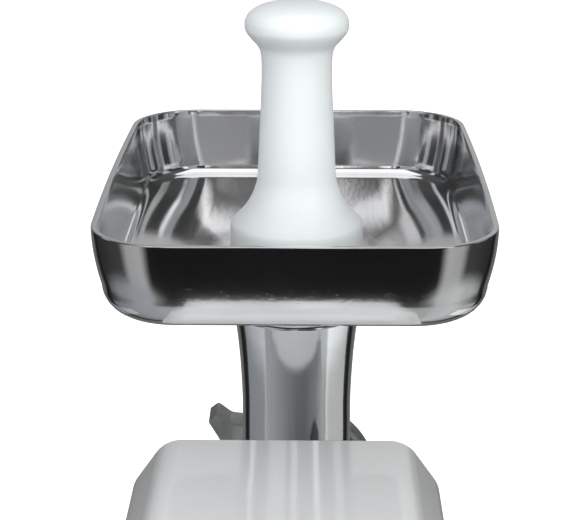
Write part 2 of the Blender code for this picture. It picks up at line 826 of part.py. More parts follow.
def cover_screw_places():
    return [(HOUSING_X + side * COVER_SCREW_X, z) for side in (-1, 1) for z in COVER_SCREW_Z]


def make_housing_shell():
    """One-piece moulding, open below for the base plate and behind for the cover."""
    outside = housing_outline(0.0, HOUSING_BOTTOM, 0.0)
    inside = housing_outline(WALL, HOUSING_BOTTOM, 0.0)
    shell = prism("housing_shell", [outside + inside[::-1]], "Y", (HOUSING_FRONT + 0.001, SHELL_REAR))
    join(shell, prism("front_wall", [outside], "Y", (HOUSING_FRONT, HOUSING_FRONT + WALL)))
    for i, (x, y) in enumerate(foot_places()):
        hole = circle(CLEAR_HOLE_R, (x, y), SMALL)
        boss = prism(f"base_boss_{i}", [boss_outline(x, y), hole], "Z", (BASE_Z[1] + GAP, BOSS_TOP))
        join(shell, boss)
    for i, (x, z) in enumerate(cover_screw_places()):
        hole = circle(PILOT_HOLE_R, (x, z), SMALL)
        span = (SHELL_REAR - 0.014, SHELL_REAR)
        join(shell, prism(f"cover_boss_{i}", [boss_outline(x, z), hole], "Y", span))
    through = (HOUSING_FRONT - 0.001, HOUSING_FRONT + WALL + 0.001)
    cut(
        shell,
        rod("collar_hole", COLLAR_SLEEVE_R + GAP, through, (0.0, AXIS_Z), "Y", MEDIUM),
        rod("button_hole", BUTTON_R + GAP, through, (BUTTON_X, BUTTON_Z), "Y", COARSE),
        box(
            "switch_window",
            (HOUSING_X + HOUSING_HALF_X - 0.005, SWITCH_Y - 0.0203, SWITCH_Z - 0.0113),
            (HOUSING_X + HOUSING_HALF_X + 0.002, SWITCH_Y + 0.0203, SWITCH_Z + 0.0113),
        ),
    )
    return dress(shell, "white_gloss")


def make_base_plate():
    half = HOUSING_HALF_X - WALL - GAP
    middle = (HOUSING_FRONT + WALL + SHELL_REAR) / 2
    depth = (SHELL_REAR - HOUSING_FRONT - WALL) / 2 - GAP
    outlines = [rectangle(half, depth, 0.002, (HOUSING_X, middle), 1)]
    outlines += [circle(CLEAR_HOLE_R, place, SMALL) for place in foot_places()]
    for i in range(BASE_VENTS):
        centre = (HOUSING_X, BASE_VENT_Y + BASE_VENT_PITCH * i)
        outlines.append(rectangle(*BASE_VENT_HALF, 0.0020, centre, 2))
    return dress(prism("base_plate", outlines, "Z", BASE_Z), "black_plastic")


def make_feet():
    feet = []
    for i, place in enumerate(foot_places()):
        profile = [
            (FOOT_R - 0.0010, 0.0),
            (FOOT_R, 0.0015),
            (FOOT_R - 0.0008, BASE_Z[0] - GAP),
            (CLEAR_HOLE_R, BASE_Z[0] - GAP),
            (CLEAR_HOLE_R, 0.0050),
            (0.0048, 0.0050),
            (0.0048, 0.0),
        ]
        foot = turned(f"foot_{i + 1}", profile, place, "Z", COARSE)
        feet.append(dress(foot, "rubber"))
    return feet


def screw_profile(head_r, shank_r, head_height, length, under_head, way=1):
    """Pan head and plain shank along the axis; way says which way the shank goes from the head."""
    return [
        (0.0, under_head - way * head_height),
        (head_r * 0.8, under_head - way * head_height),
        (head_r, under_head - way * head_height * 0.6),
        (head_r, under_head),
        (shank_r, under_head),
        (shank_r, under_head + way * length),
        (0.0, under_head + way * length),
    ]


def make_screws():
    screws = []
    for i, place in enumerate(foot_places()):
        profile = screw_profile(*FOOT_SCREW, 0.0047)
        screws.append(turned(f"foot_screw_{i + 1}", profile, place, "Z", SMALL))
    for i, place in enumerate(cover_screw_places()):
        profile = screw_profile(*COVER_SCREW, COVER_REAR + GAP, -1)
        screws.append(turned(f"cover_screw_{i + 1}", profile, place, "Y", SMALL))
    for i, place in enumerate(case_screw_places()):
        profile = screw_profile(*CASE_SCREW, COVER_Y[1] + GAP, -1)
        screws.append(turned(f"case_screw_{i + 1}", profile, place, "Y", SMALL))
    return [dress(screw, "steel") for screw in screws]


def make_rear_cover():
    outlines = [housing_outline(0.0, HOUSING_BOTTOM, 0.004)]
    outlines += [circle(PILOT_HOLE_R, place, SMALL) for place in cover_screw_places()]
    outlines.append(circle(GLAND_NECK_R + GAP, (GLAND_X, GLAND_Z), COARSE))
    for row in range(COVER_VENTS):
        centre = (HOUSING_X, COVER_VENT_Z + COVER_VENT_PITCH * row)
        outlines.append(rectangle(*COVER_VENT_HALF, 0.0024, centre, 2))
    cover = prism("rear_cover", outlines, "Y", (SHELL_REAR + GAP, COVER_REAR))
    return dress(cover, "white_gloss")


def make_cable_gland():
    """Stepped rubber bush through the rear cover, with a groove that grips the cover's edge."""
    bottom = SHELL_REAR - 0.004
    profile = [
        (GLAND_BORE_R, bottom),
        (GLAND_R, bottom),
        (GLAND_R, SHELL_REAR),
        (GLAND_NECK_R, SHELL_REAR),
        (GLAND_NECK_R, COVER_REAR + GAP),
        (GLAND_R, COVER_REAR + GAP),
        (GLAND_R - 0.0005, COVER_REAR + 0.003),
        (GLAND_NECK_R - 0.0004, GLAND_END_Y),
        (GLAND_BORE_R, GLAND_END_Y),
    ]
    return dress(turned("cable_gland", profile, (GLAND_X, GLAND_Z), "Y", COARSE), "rubber")


def make_socket_collar():
    """Metal socket in the front wall, with a lip and three entry notches for the head's lugs."""
    profile = [
        (COLLAR_FLANGE_R, COLLAR_Y[0] + 0.001),
        (COLLAR_FLANGE_R, HOUSING_FRONT - GAP),
        (COLLAR_SLEEVE_R, HOUSING_FRONT - GAP),
        (COLLAR_SLEEVE_R, COLLAR_Y[1]),
        (COLLAR_GROOVE_R, COLLAR_Y[1]),
        (COLLAR_GROOVE_R, COLLAR_LIP_Y),
        (COLLAR_LIP_R, COLLAR_LIP_Y),
        (COLLAR_LIP_R, COLLAR_Y[0]),
        (COLLAR_FLANGE_R - 0.001, COLLAR_Y[0]),
    ]
    collar = turned("socket_collar", profile, (0.0, AXIS_Z), "Y", FINE)
    for i in range(LUG_COUNT):
        turn = Matrix.Rotation(2 * math.pi * i / LUG_COUNT + HEAD_TURN, 4, "Y")
        notch = box(f"entry_notch_{i}", (-0.006, -0.034, 0.025), (0.006, -0.0240, 0.0322))
        notch.matrix_world = Matrix.Translation((0.0, 0.0, AXIS_Z)) @ turn
        cut(collar, notch)
    return dress(collar, "cast_aluminium")


# ---------------------------------------------------------------- controls
def make_switch():
    """Panel switch in the side wall: a flanged body, and a rocker that tips about a vertical pin."""
    wall_out = HOUSING_X + HOUSING_HALF_X
    body = prism(
        "switch_body",
        [rectangle(0.0230, 0.0140, 0.003, (SWITCH_Y, SWITCH_Z), 3)],
        "X",
        (wall_out + GAP, wall_out + 0.0028),
    )
    join(
        body,
        box(
            "switch_case",
            (wall_out - 0.022, SWITCH_Y - 0.020, SWITCH_Z - 0.011),
            (wall_out + 0.0015, SWITCH_Y + 0.020, SWITCH_Z + 0.011),
        ),
    )
    cut(
        body,
        box(
            "switch_cavity",
            (wall_out - 0.0095, SWITCH_Y - SWITCH_CAVITY_Y, SWITCH_Z - SWITCH_CAVITY_Z),
            (wall_out + 0.004, SWITCH_Y + SWITCH_CAVITY_Y, SWITCH_Z + SWITCH_CAVITY_Z),
        ),
    )
    pivot = rocker_pivot()
    outline = [
        (pivot.x - 0.0035, SWITCH_Y - 0.006),
        (pivot.x + 0.0010, SWITCH_Y - ROCKER_HALF_Y),
        (pivot.x + 0.0085, SWITCH_Y - ROCKER_HALF_Y),
        (pivot.x + 0.0072, SWITCH_Y - ROCKER_HALF_Y * 0.5),
        (pivot.x + 0.0068, SWITCH_Y),
        (pivot.x + 0.0072, SWITCH_Y + ROCKER_HALF_Y * 0.5),
        (pivot.x + 0.0085, SWITCH_Y + ROCKER_HALF_Y),
        (pivot.x + 0.0010, SWITCH_Y + ROCKER_HALF_Y),
        (pivot.x - 0.0035, SWITCH_Y + 0.006),
    ]
    span = (SWITCH_Z - ROCKER_HALF_Z, SWITCH_Z + ROCKER_HALF_Z)
    rocker = prism("switch_rocker", [outline], "Z", span)
    dress(body, "black_plastic")
    return dress(rocker, "grey_plastic")


def rocker_pivot():
    return Vector((HOUSING_X + HOUSING_HALF_X - 0.0035, SWITCH_Y, SWITCH_Z))


def make_lock_button():
    """Round push button beside the socket, on a stem that compresses the spring behind it."""
    inner = HOUSING_FRONT + WALL + GAP
    profile = [
        (0.0, BUTTON_FRONT_Y),
        (BUTTON_R - 0.0012, BUTTON_FRONT_Y),
        (BUTTON_R, BUTTON_FRONT_Y + 0.0012),
        (BUTTON_R, inner),
        (0.0115, inner),
        (0.0115, inner + 0.002),
        (0.0040, inner + 0.002),
        (0.0040, -0.0166),
        (0.0, -0.0166),
    ]
    return dress(turned("lock_button", profile, (BUTTON_X, BUTTON_Z), "Y", COARSE), "grey_plastic")


def make_lock_spring():
    """Coil between the button's flange and the gearbox case."""
    wire = 0.0005
    start = HOUSING_FRONT + WALL + 0.002 + 2 * GAP + wire
    end = CASE_Y[0] - GAP - wire
    turns, per_turn, radius = 4, 10, 0.0062
    count = turns * per_turn
    points = []
    for i in range(count + 1):
        angle = 2 * math.pi * i / per_turn
        y = start + (end - start) * i / count
        points.append((BUTTON_X + radius * math.cos(angle), y, BUTTON_Z + radius * math.sin(angle)))
    spring = tube("lock_spring", points, wire, sides=1)
    spring.data.materials.append(material("steel"))
    return spring


# ---------------------------------------------------------------- gearbox
def case_screw_places():
    low, high = CASE_Z
    inset = CASE_SCREW_INSET
    return [(side * (CASE_HALF_X - inset), z) for side in (-1, 1) for z in (low + inset, high - inset)]


def case_outline(inset, radius):
    half_z = (CASE_Z[1] - CASE_Z[0]) / 2
    middle = (CASE_Z[1] + CASE_Z[0]) / 2
    return rectangle(CASE_HALF_X - inset, half_z - inset, radius, (0.0, middle), 3)


def bolt_places():
    return [(-BOLT_OFFSET, ROTOR_Z + BOLT_OFFSET), (BOLT_OFFSET, ROTOR_Z - BOLT_OFFSET)]


def make_gearbox_case():
    case = prism("gearbox_case", [case_outline(0.0, 0.008)], "Y", CASE_Y)
    inner = (CASE_Y[0] + CASE_WALL, CASE_Y[1] + 0.004)
    cut(
        case,
        prism("case_hollow", [case_outline(CASE_WALL, 0.016)], "Y", inner),
        rod("case_bush_hole", 0.0133, (-0.020, 0.004), (0.0, AXIS_Z)),
        rod("case_pin_hole", IDLER_PIN_R + GAP, (-0.020, 0.004), (0.0, IDLER_Z), "Y", SMALL),
    )
    for i, place in enumerate(case_screw_places()):
        cut(case, rod(f"case_screw_hole_{i}", PILOT_HOLE_R, (0.006, 0.030), place, "Y", SMALL))
    return dress(case, "cast_aluminium")


def make_gearbox_cover():
    outlines = [case_outline(0.0, 0.008)]
    outlines.append(circle(0.0093, (0.0, AXIS_Z), COARSE))
    outlines.append(circle(IDLER_PIN_R + GAP, (0.0, IDLER_Z), SMALL))
    outlines.append(circle(BEARING_R + GAP, (0.0, ROTOR_Z), COARSE))
    outlines += [circle(PILOT_HOLE_R, place, SMALL) for place in case_screw_places()]
    outlines += [circle(CLEAR_HOLE_R, place, SMALL) for place in bolt_places()]
    return dress(prism("gearbox_cover", outlines, "Y", COVER_Y), "cast_aluminium")


def make_bushes():
    front = ring("output_bush_front", 0.0093, 0.0130, (-0.0115, -0.0046), (0.0, AXIS_Z), steps=COARSE)
    rear = ring("output_bush_rear", 0.0063, 0.0090, (0.0240, 0.0300), (0.0, AXIS_Z), steps=COARSE)
    return [dress(front, "bronze"), dress(rear, "bronze")]


def make_idler_pin():
    profile = [
        (0.0, -0.0110),
        (IDLER_PIN_R - 0.0005, -0.0110),
        (IDLER_PIN_R, -0.0100),
        (IDLER_PIN_R, 0.0285),
        (IDLER_PIN_R - 0.0005, 0.0292),
        (0.0, 0.0292),
    ]
    return dress(turned("idler_pin", profile, (0.0, IDLER_Z), "Y", SMALL), "steel")


def make_output_gear():
    """Large slow gear, with a gap between teeth on the line to the idler."""
    up = math.radians(90)
    teeth = gear_outline(OUTPUT_TEETH, SLOW_MODULE, AXIS_Z, up + math.pi / OUTPUT_TEETH, 1)
    bore = circle(0.0093, (0.0, AXIS_Z), COARSE)
    gear = prism("output_gear", [teeth, bore], "Y", OUTPUT_GEAR_Y)
    for i, span in enumerate(((-0.006, -0.0005), (0.0065, 0.012))):
        cut(gear, ring(f"output_gear_recess_{i}", 0.0145, 0.0270, span, (0.0, AXIS_Z), steps=COARSE))
    return dress(gear, "nylon")


def make_drive_shaft():
    profile = [
        (0.0, -0.0140),
        (0.0065, -0.0140),
        (0.0065, -0.0125),
        (0.0090, -0.0120),
        (0.0090, 0.0115),
        (0.0060, 0.0120),
        (0.0060, 0.0305),
        (0.0, 0.0305),
    ]
    shaft = turned("drive_shaft", profile, (0.0, AXIS_Z), "Y", COARSE)
    hexagon = circle(HEX_R, (0.0, AXIS_Z), 6)
    join(shaft, prism("shaft_hex", [hexagon], "Y", (-0.0238, -0.0122)))
    return dress(shaft, "steel")


def make_idler_gear():
    """Compound gear: a small slow pinion and a large fast wheel on one hub."""
    up = math.radians(90)
    pinion = gear_outline(PINION_TEETH, SLOW_MODULE, IDLER_Z, up, 2)
    wheel = gear_outline(IDLER_TEETH, FAST_MODULE, IDLER_Z, up + math.pi / IDLER_TEETH, 1)
    gear = prism("idler_gear", [wheel], "Y", IDLER_GEAR_Y)
    join(gear, prism("idler_pinion", [pinion], "Y", IDLER_PINION_Y))
    cut(gear, rod("idler_bore", IDLER_BORE_R, (-0.010, 0.030), (0.0, IDLER_Z), "Y", SMALL))
    return dress(gear, "steel")


# ---------------------------------------------------------------- motor
def make_rotor_shaft():
    profile = [
        (0.0, ROTOR_PINION_Y[1] - 0.002),
        (0.0044, ROTOR_PINION_Y[1] - 0.002),
        (SHAFT_R, ROTOR_PINION_Y[1] + 0.0010),
        (SHAFT_R, SHAFT_END_Y - 0.0005),
        (SHAFT_R - 0.0005, SHAFT_END_Y),
        (0.0, SHAFT_END_Y),
    ]
    shaft = turned("rotor_shaft", profile, (0.0, ROTOR_Z), "Y", COARSE)
    teeth = gear_outline(PINION_TEETH, FAST_MODULE, ROTOR_Z, math.radians(90), 2)
    join(shaft, prism("rotor_pinion", [teeth], "Y", ROTOR_PINION_Y))
    return dress(shaft, "steel")


def make_rotor_core():
    """Slotted lamination stack."""
    slots = 10
    outline = []
    for i in range(slots):
        middle = 2 * math.pi * i / slots
        for radius, angle in ((0.0150, -0.25), (0.0205, -0.25), (ROTOR_R, -0.22), (ROTOR_R, 0.0)):
            outline.append((radius, middle + angle))
        for radius, angle in ((ROTOR_R, 0.22), (0.0205, 0.25), (0.0150, 0.25)):
            outline.append((radius, middle + angle))
    points = [(r * math.cos(a), ROTOR_Z + r * math.sin(a)) for r, a in outline]
    bore = circle(SHAFT_R + GAP, (0.0, ROTOR_Z), COARSE)
    return dress(prism("rotor_core", [points, bore], "Y", STATOR_Y), "lamination")


def make_commutator():
    profile = [
        (SHAFT_R + GAP, COMMUTATOR_Y[0] - 0.003),
        (0.0080, COMMUTATOR_Y[0] - 0.003),
        (COMMUTATOR_R + 0.0015, COMMUTATOR_Y[0] - 0.001),
        (COMMUTATOR_R + 0.0015, COMMUTATOR_Y[0] + 0.001),
        (COMMUTATOR_R, COMMUTATOR_Y[0] + 0.001),
        (COMMUTATOR_R, COMMUTATOR_Y[1]),
        (SHAFT_R + GAP, COMMUTATOR_Y[1]),
    ]
    return dress(turned("commutator", profile, (0.0, ROTOR_Z), "Y", COARSE), "copper")


def make_cooling_fan():
    blades = 9
    outline = []
    for i in range(blades):
        base = 2 * math.pi * i / blades
        leading = ((0.0090, 0.0), (0.0190, 0.16), (FAN_R, 0.22))
        trailing = ((FAN_R, 0.27), (0.0190, 0.24), (0.0090, 0.15))
        outline += [polar(radius, base + angle, ROTOR_Z) for radius, angle in leading + trailing]
    centre = (0.0, ROTOR_Z)
    fan = prism("cooling_fan", [outline], "Y", (FAN_Y[0] + 0.001, FAN_Y[1]))
    disc_span = (FAN_Y[0], FAN_Y[0] + 0.002)
    join(fan, rod("fan_disc", FAN_R + 0.0005, disc_span, centre, "Y", MEDIUM))
    bore_span = (FAN_Y[0] - 0.004, FAN_Y[1] + 0.006)
    cut(fan, rod("fan_bore", SHAFT_R + GAP, bore_span, centre, "Y", COARSE))
    return dress(fan, "black_plastic")


def make_stator_core():
    """Square lamination stack, bored for the rotor, with a window each side for the coils."""
    window = math.radians(35)
    pole = math.pi - 2 * window
    centre = (0.0, ROTOR_Z)
    bore = []
    for side in (0, 1):
        turn = math.pi * side
        bore += arc(centre, STATOR_WINDOW_R, turn - window, turn + window, 6)
        bore += arc(centre, STATOR_BORE_R, turn + window, turn + window + pole, 8)
    outlines = [rectangle(STATOR_HALF, STATOR_HALF, 0.006, centre, 3), bore]
    outlines += [circle(CLEAR_HOLE_R, place, SMALL) for place in bolt_places()]
    return dress(prism("stator_core", outlines, "Y", STATOR_Y), "lamination")


def make_coils():
    """Two saddle coils: straight sides through the stator's windows, ends arched round the rotor."""
    overhang, bend = 0.006, 0.003
    front = STATOR_Y[0] - overhang
    rear = STATOR_Y[1] + overhang
    coils = []
    for name, side in (("field_coil_upper", 1), ("field_coil_lower", -1)):
        sweep = arc((0.0, 0.0), COIL_R, COIL_ANGLE, math.pi - COIL_ANGLE, 8)
        sweep = [(x, ROTOR_Z + side * z) for x, z in sweep]
        first, last = sweep[0], sweep[-1]
        points = [(x, front, z) for x, z in sweep[1:-1]]
        points += [(last[0], y, last[1]) for y in (front + bend, rear - bend)]
        points += [(x, rear, z) for x, z in reversed(sweep[1:-1])]
        points += [(first[0], y, first[1]) for y in (rear - bend, front + bend)]
        coil = tube(name, points, COIL_WIRE_R, cyclic=True, sides=1)
        coil.data.materials.append(material("copper"))
        coils.append(coil)
    return coils


def make_bearings():
    bore = SHAFT_R + GAP
    for name, span in (("front", (0.0250, 0.0310)), ("rear", (0.1368, 0.1432))):
        bearing = ring(f"rotor_bearing_{name}", bore, BEARING_R, span, (0.0, ROTOR_Z), steps=COARSE)
        dress(bearing, "steel")


def make_motor_bracket():
    outlines = [rectangle(STATOR_HALF, STATOR_HALF, 0.006, (0.0, ROTOR_Z), 3)]
    outlines.append(circle(BEARING_R + GAP, (0.0, ROTOR_Z), COARSE))
    outlines += [circle(CLEAR_HOLE_R, place, SMALL) for place in bolt_places()]
    for x in (-0.022, 0.022):
        outlines.append(rectangle(0.006, 0.009, 0.003, (x, ROTOR_Z), 2))
    return dress(prism("motor_bracket", outlines, "Y", BRACKET_Y), "black_plastic")


def make_motor_bolts():
    bolts = []
    for i, place in enumerate(bolt_places()):
        length = BRACKET_Y[1] - COVER_Y[0]
        profile = screw_profile(*BOLT, length, BRACKET_Y[1] + GAP, -1)
        bolts.append(dress(turned(f"motor_bolt_{i + 1}", profile, place, "Y", SMALL), "steel"))
    return bolts


def make_brushes():
    """Each carbon brush slides in its own square holder and bears on the commutator."""
    half = 0.0028
    middle = (COMMUTATOR_Y[0] + COMMUTATOR_Y[1]) / 2 + 0.001
    for name, side in (("left", -1), ("right", 1)):
        outer = rectangle(half + 0.0012, half + 0.0012, 0.0005, (middle, ROTOR_Z), 1)
        inner = rectangle(half + GAP, half + GAP, 0.0002, (middle, ROTOR_Z), 1)
        span = sorted((side * 0.0135, side * 0.0320))
        dress(prism(f"brush_holder_{name}", [outer, inner], "X", span), "bronze")
        low, high = sorted((side * (COMMUTATOR_R + GAP), side * 0.0270))
        brush = box(
            f"carbon_brush_{name}",
            (low, middle - half, ROTOR_Z - half),
            (high, middle + half, ROTOR_Z + half),
        )
        dress(brush, "carbon")


# ---------------------------------------------------------------- assembly
def build():
    head_axis = axis_empty("head_axis", (0.0, THROAT_Y, AXIS_Z))
    drive_axis = axis_empty("drive_axis", (0.0, 0.0, AXIS_Z))
    idler_axis = axis_empty("idler_axis", (0.0, 0.0, IDLER_Z))
    rotor_axis = axis_empty("rotor_axis", (0.0, 0.0, ROTOR_Z))
    throat_axis = axis_empty("throat_axis", (0.0, THROAT_Y, RIM_Z))
    rocker_axis = axis_empty("rocker_axis", rocker_pivot())
    button_axis = axis_empty("button_axis", (BUTTON_X, HOUSING_FRONT, BUTTON_Z))
    moving = {
        head_axis: [make_head_casting(), make_cutting_plate(), make_ring_nut()],
        throat_axis: [make_tray(), make_pusher()],
        drive_axis: [
            make_output_gear(),
            make_drive_shaft(),
            make_auger(),
            make_auger_coupling(),
            make_coupling_screw(),
            make_knife(),
        ],
        idler_axis: [make_idler_gear()],
        rotor_axis: [make_rotor_shaft(), make_rotor_core(), make_commutator(), make_cooling_fan()],
        rocker_axis: [make_switch()],
        button_axis: [make_lock_button()],
    }
    for empty, pieces in moving.items():
        for piece in pieces:
            hang(piece, empty)
    make_housing_shell()
    make_base_plate()
    make_feet()
    make_screws()
    make_rear_cover()
    make_cable_gland()
    make_socket_collar()
    make_lock_spring()
    make_gearbox_case()
    make_gearbox_cover()
    make_bushes()
    make_idler_pin()
    make_stator_core()
    make_coils()
    make_bearings()
    make_motor_bracket()
    make_motor_bolts()
    make_brushes()


clear_scene()
PARTS = new_collection("Electric meat grinder")
HELPERS = new_collection("Cutters")
build()
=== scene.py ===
import json
import math

import bmesh
import bpy
from mathutils import Matrix, Vector


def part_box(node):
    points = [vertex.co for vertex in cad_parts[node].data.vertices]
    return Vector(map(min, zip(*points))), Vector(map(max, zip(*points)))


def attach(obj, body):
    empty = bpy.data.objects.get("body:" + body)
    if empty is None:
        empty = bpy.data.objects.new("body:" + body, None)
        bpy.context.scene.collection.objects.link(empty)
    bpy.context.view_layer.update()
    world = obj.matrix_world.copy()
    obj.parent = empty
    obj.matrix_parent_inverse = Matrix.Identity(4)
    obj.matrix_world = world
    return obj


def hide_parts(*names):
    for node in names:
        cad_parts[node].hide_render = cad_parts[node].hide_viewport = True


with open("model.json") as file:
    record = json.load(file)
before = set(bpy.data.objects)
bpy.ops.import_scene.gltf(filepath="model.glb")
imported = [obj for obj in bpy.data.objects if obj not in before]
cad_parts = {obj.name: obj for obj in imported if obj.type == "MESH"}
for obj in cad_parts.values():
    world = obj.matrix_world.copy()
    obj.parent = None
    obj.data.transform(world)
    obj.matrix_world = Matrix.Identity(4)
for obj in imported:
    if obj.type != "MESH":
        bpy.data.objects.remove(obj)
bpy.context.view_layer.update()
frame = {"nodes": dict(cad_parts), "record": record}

# ---------------------------------------------------------------- places, from the frame (metres)
TRAY_LOW, TRAY_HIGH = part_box("tray")
HEAD_LOW, HEAD_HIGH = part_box("head_casting")
NUT_LOW, NUT_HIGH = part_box("ring_nut")
PLATE_LOW, PLATE_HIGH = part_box("cutting_plate")
SHELL_LOW, SHELL_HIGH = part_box("housing_shell")
COVER_LOW, COVER_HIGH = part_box("rear_cover")
BASE_LOW, BASE_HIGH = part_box("base_plate")
COLLAR_LOW, COLLAR_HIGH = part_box("socket_collar")
SWITCH_LOW, SWITCH_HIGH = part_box("switch_body")
ROCKER_LOW, ROCKER_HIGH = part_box("switch_rocker")
BUTTON_LOW, BUTTON_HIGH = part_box("lock_button")
GLAND_LOW, GLAND_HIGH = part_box("cable_gland")

AXIS_Z = (PLATE_LOW.z + PLATE_HIGH.z) / 2
THROAT_Y = (TRAY_LOW.y + TRAY_HIGH.y) / 2
RIM_Z = TRAY_HIGH.z
JOINT_Z = HEAD_HIGH.z
HOUSING_X = (SHELL_LOW.x + SHELL_HIGH.x) / 2
HOUSING_HALF_X = (SHELL_HIGH.x - SHELL_LOW.x) / 2
HOUSING_TOP = SHELL_HIGH.z

# ---------------------------------------------------------------- sizes that the frame's boxes don't give
GAP = 0.0003
TRAY_HALF_X = 0.081
TRAY_HALF_Y = (TRAY_HIGH.y - TRAY_LOW.y) / 2
TRAY_BULGE = 0.002
TRAY_DEPTH = 0.0362
TRAY_WALL = 0.0024
RIM_ROUND = 0.0004
TRAY_CORNER = 0.030
TRAY_CREASE = 0.0117
TRAY_CREASE_INSIDE = 0.0045
TRAY_RISE = 0.0012
MOUTH_DROP = 0.0058
TRAY_DRAFT_X = 0.0035
TRAY_DRAFT_Y = 0.0008
MOUTH_R = 0.0315
NECK_R = 0.029
NECK_BORE_R = 0.0228
TUBE_R = 0.0253
TUBE_BORE_R = 0.0223
SPIGOT_SEAT_R = 0.0254
SPIGOT_SEAT_Z = 0.228
BARREL_R = 0.0285
BARREL_BODY_R = 0.030
BARREL_BORE_R = 0.025
FLANGE_R = 0.038
FLANGE_Y = (-0.037, -0.0333)
SEAT_R = 0.0355
SEAT_BORE_R = 0.0313
SEAT_START_Y = -0.1275
LUG_R = 0.0316
LUG_COUNT = 3
HEAD_TURN = math.radians(45)
NUT_R = 0.0398
NUT_BORE_R = 0.0362
NUT_LIP_R = 0.027
NUT_LIP_Y = -0.1411
# outline of a lug as (distance from the axis, offset, corner radius)
NUT_LUG = (
    (0.0375, -0.0095, 0.0),
    (0.0471, -0.0059, 0.004),
    (0.0563, -0.0025, 0.001),
    (0.0552, 0.0032, 0.0015),
    (0.0465, 0.0035, 0.005),
    (0.0375, 0.0095, 0.0),
)
NUT_LUG_ANGLE = math.radians(40)
PLATE_R = 0.031
PLATE_CENTRE_R = 0.0044
PLATE_HOLE_R = 0.0023
PLATE_ROWS = ((0.0105, 6), (0.0170, 10), (0.0235, 14))
CHAMFER_X = 0.015
CHAMFER_Z = 0.0215
CHAMFER_ROUND = 0.014
WALL = 0.003
PLUNGER_R = 0.0216
PLUNGER_BORE_R = 0.0186
KNOB_R = 0.0228
KNOB_Z = 0.065
KNOB_RISE = 0.0103
KNOB_POWER = 2.4
SWITCH_CAVITY_Y = 0.0175
SWITCH_CAVITY_Z = 0.0085
# rows of vent slots: (half length, half width, corner radius), place of the first, pitch, count
COVER_VENT = (0.034, 0.0026, 0.0024)
COVER_VENT_ROWS = (0.070, 0.011, 7)
BASE_VENT = (0.022, 0.0022, 0.0020)
BASE_VENT_ROWS = (0.070, 0.010, 6)
COVER_SCREW_HOLE_R = 0.0018
GLAND_HOLE_R = 0.0063
COLLAR_HOLE_R = 0.0363
BUTTON_HOLE_R = 0.0093
WINDOW_Y = 0.0203
WINDOW_Z = 0.0113
BAYONET_LUG_X = 0.005
BAYONET_LUG_Y = (-0.0245, -0.0200)
COLLAR_LIP_Y = -0.0250
PLATE_NOTCH_X = 0.0024
PLATE_NOTCH_R = 0.0288

TURN_STEPS = 128
SMALL_STEPS = 48


# ---------------------------------------------------------------- objects
def add_mesh(name, mesh):
    obj = bpy.data.objects.new(name, mesh)
    bpy.context.scene.collection.objects.link(obj)
    return obj


def add_bmesh(name, bm):
    bmesh.ops.recalc_face_normals(bm, faces=bm.faces)
    mesh = bpy.data.meshes.new(name)
    bm.to_mesh(mesh)
    bm.free()
    return add_mesh(name, mesh)


def smooth(obj, angle=32):
    obj.data.shade_smooth()
    obj.data.set_sharp_from_angle(angle=math.radians(angle))
    return obj


def turned(name, profile, centre=(0.0, 0.0), axis="Y", steps=TURN_STEPS):
    """A turned solid, as a plain mesh: (radius, place along the axis) points about a line along Y or Z.

    centre is (x, z) of a line along Y, or (x, y) of a line along Z.
    """
    bm = bmesh.new()
    rows = []
    for r, along in profile:
        if r < 1e-7:
            rows.append([bm.verts.new(on_axis(centre, axis, 0.0, 0.0, along))])
            continue
        row = []
        for i in range(steps):
            angle = 2 * math.pi * i / steps
            row.append(bm.verts.new(on_axis(centre, axis, r * math.cos(angle), r * math.sin(angle), along)))
        rows.append(row)
    ring = len(rows[0]) > 1 and len(rows[-1]) > 1
    pairs = list(zip(rows, rows[1:] + rows[:1], strict=True))
    for row, following in pairs if ring else pairs[:-1]:
        for i in range(steps):
            j = (i + 1) % steps
            near = [row[i % len(row)], row[j % len(row)]]
            far = [following[j % len(following)], following[i % len(following)]]
            bm.faces.new(list(dict.fromkeys(near + far)))
    return smooth(add_bmesh(name, bm))


def on_axis(centre, axis, u, v, along):
    if axis == "Y":
        return (centre[0] + u, along, centre[1] + v)
    return (centre[0] + u, centre[1] + v, along)


def loft(name, rings, endless=False):
    """Quads between successive rings of the same count; an endless loft joins the last to the first."""
    bm = bmesh.new()
    rows = [[bm.verts.new(point) for point in points] for points in rings]
    pairs = list(zip(rows, rows[1:], strict=False))
    if endless:
        pairs.append((rows[-1], rows[0]))
    else:
        bm.faces.new(rows[0])
        bm.faces.new(rows[-1])
    for row, following in pairs:
        for i in range(len(row)):
            j = (i + 1) % len(row)
            bm.faces.new((row[i], row[j], following[j], following[i]))
    return smooth(add_bmesh(name, bm))


def box(name, low, high):
    bm = bmesh.new()
    size = Vector(high) - Vector(low)
    middle = (Vector(high) + Vector(low)) / 2
    bmesh.ops.create_cube(bm, size=1.0, matrix=Matrix.Translation(middle) @ Matrix.Diagonal((*size, 1.0)))
    return add_bmesh(name, bm)


FRAMES = {
    "X": Matrix(((0, 0, 1), (1, 0, 0), (0, 1, 0))),
    "Y": Matrix(((1, 0, 0), (0, 0, -1), (0, 1, 0))),
    "Z": Matrix.Identity(3),
}


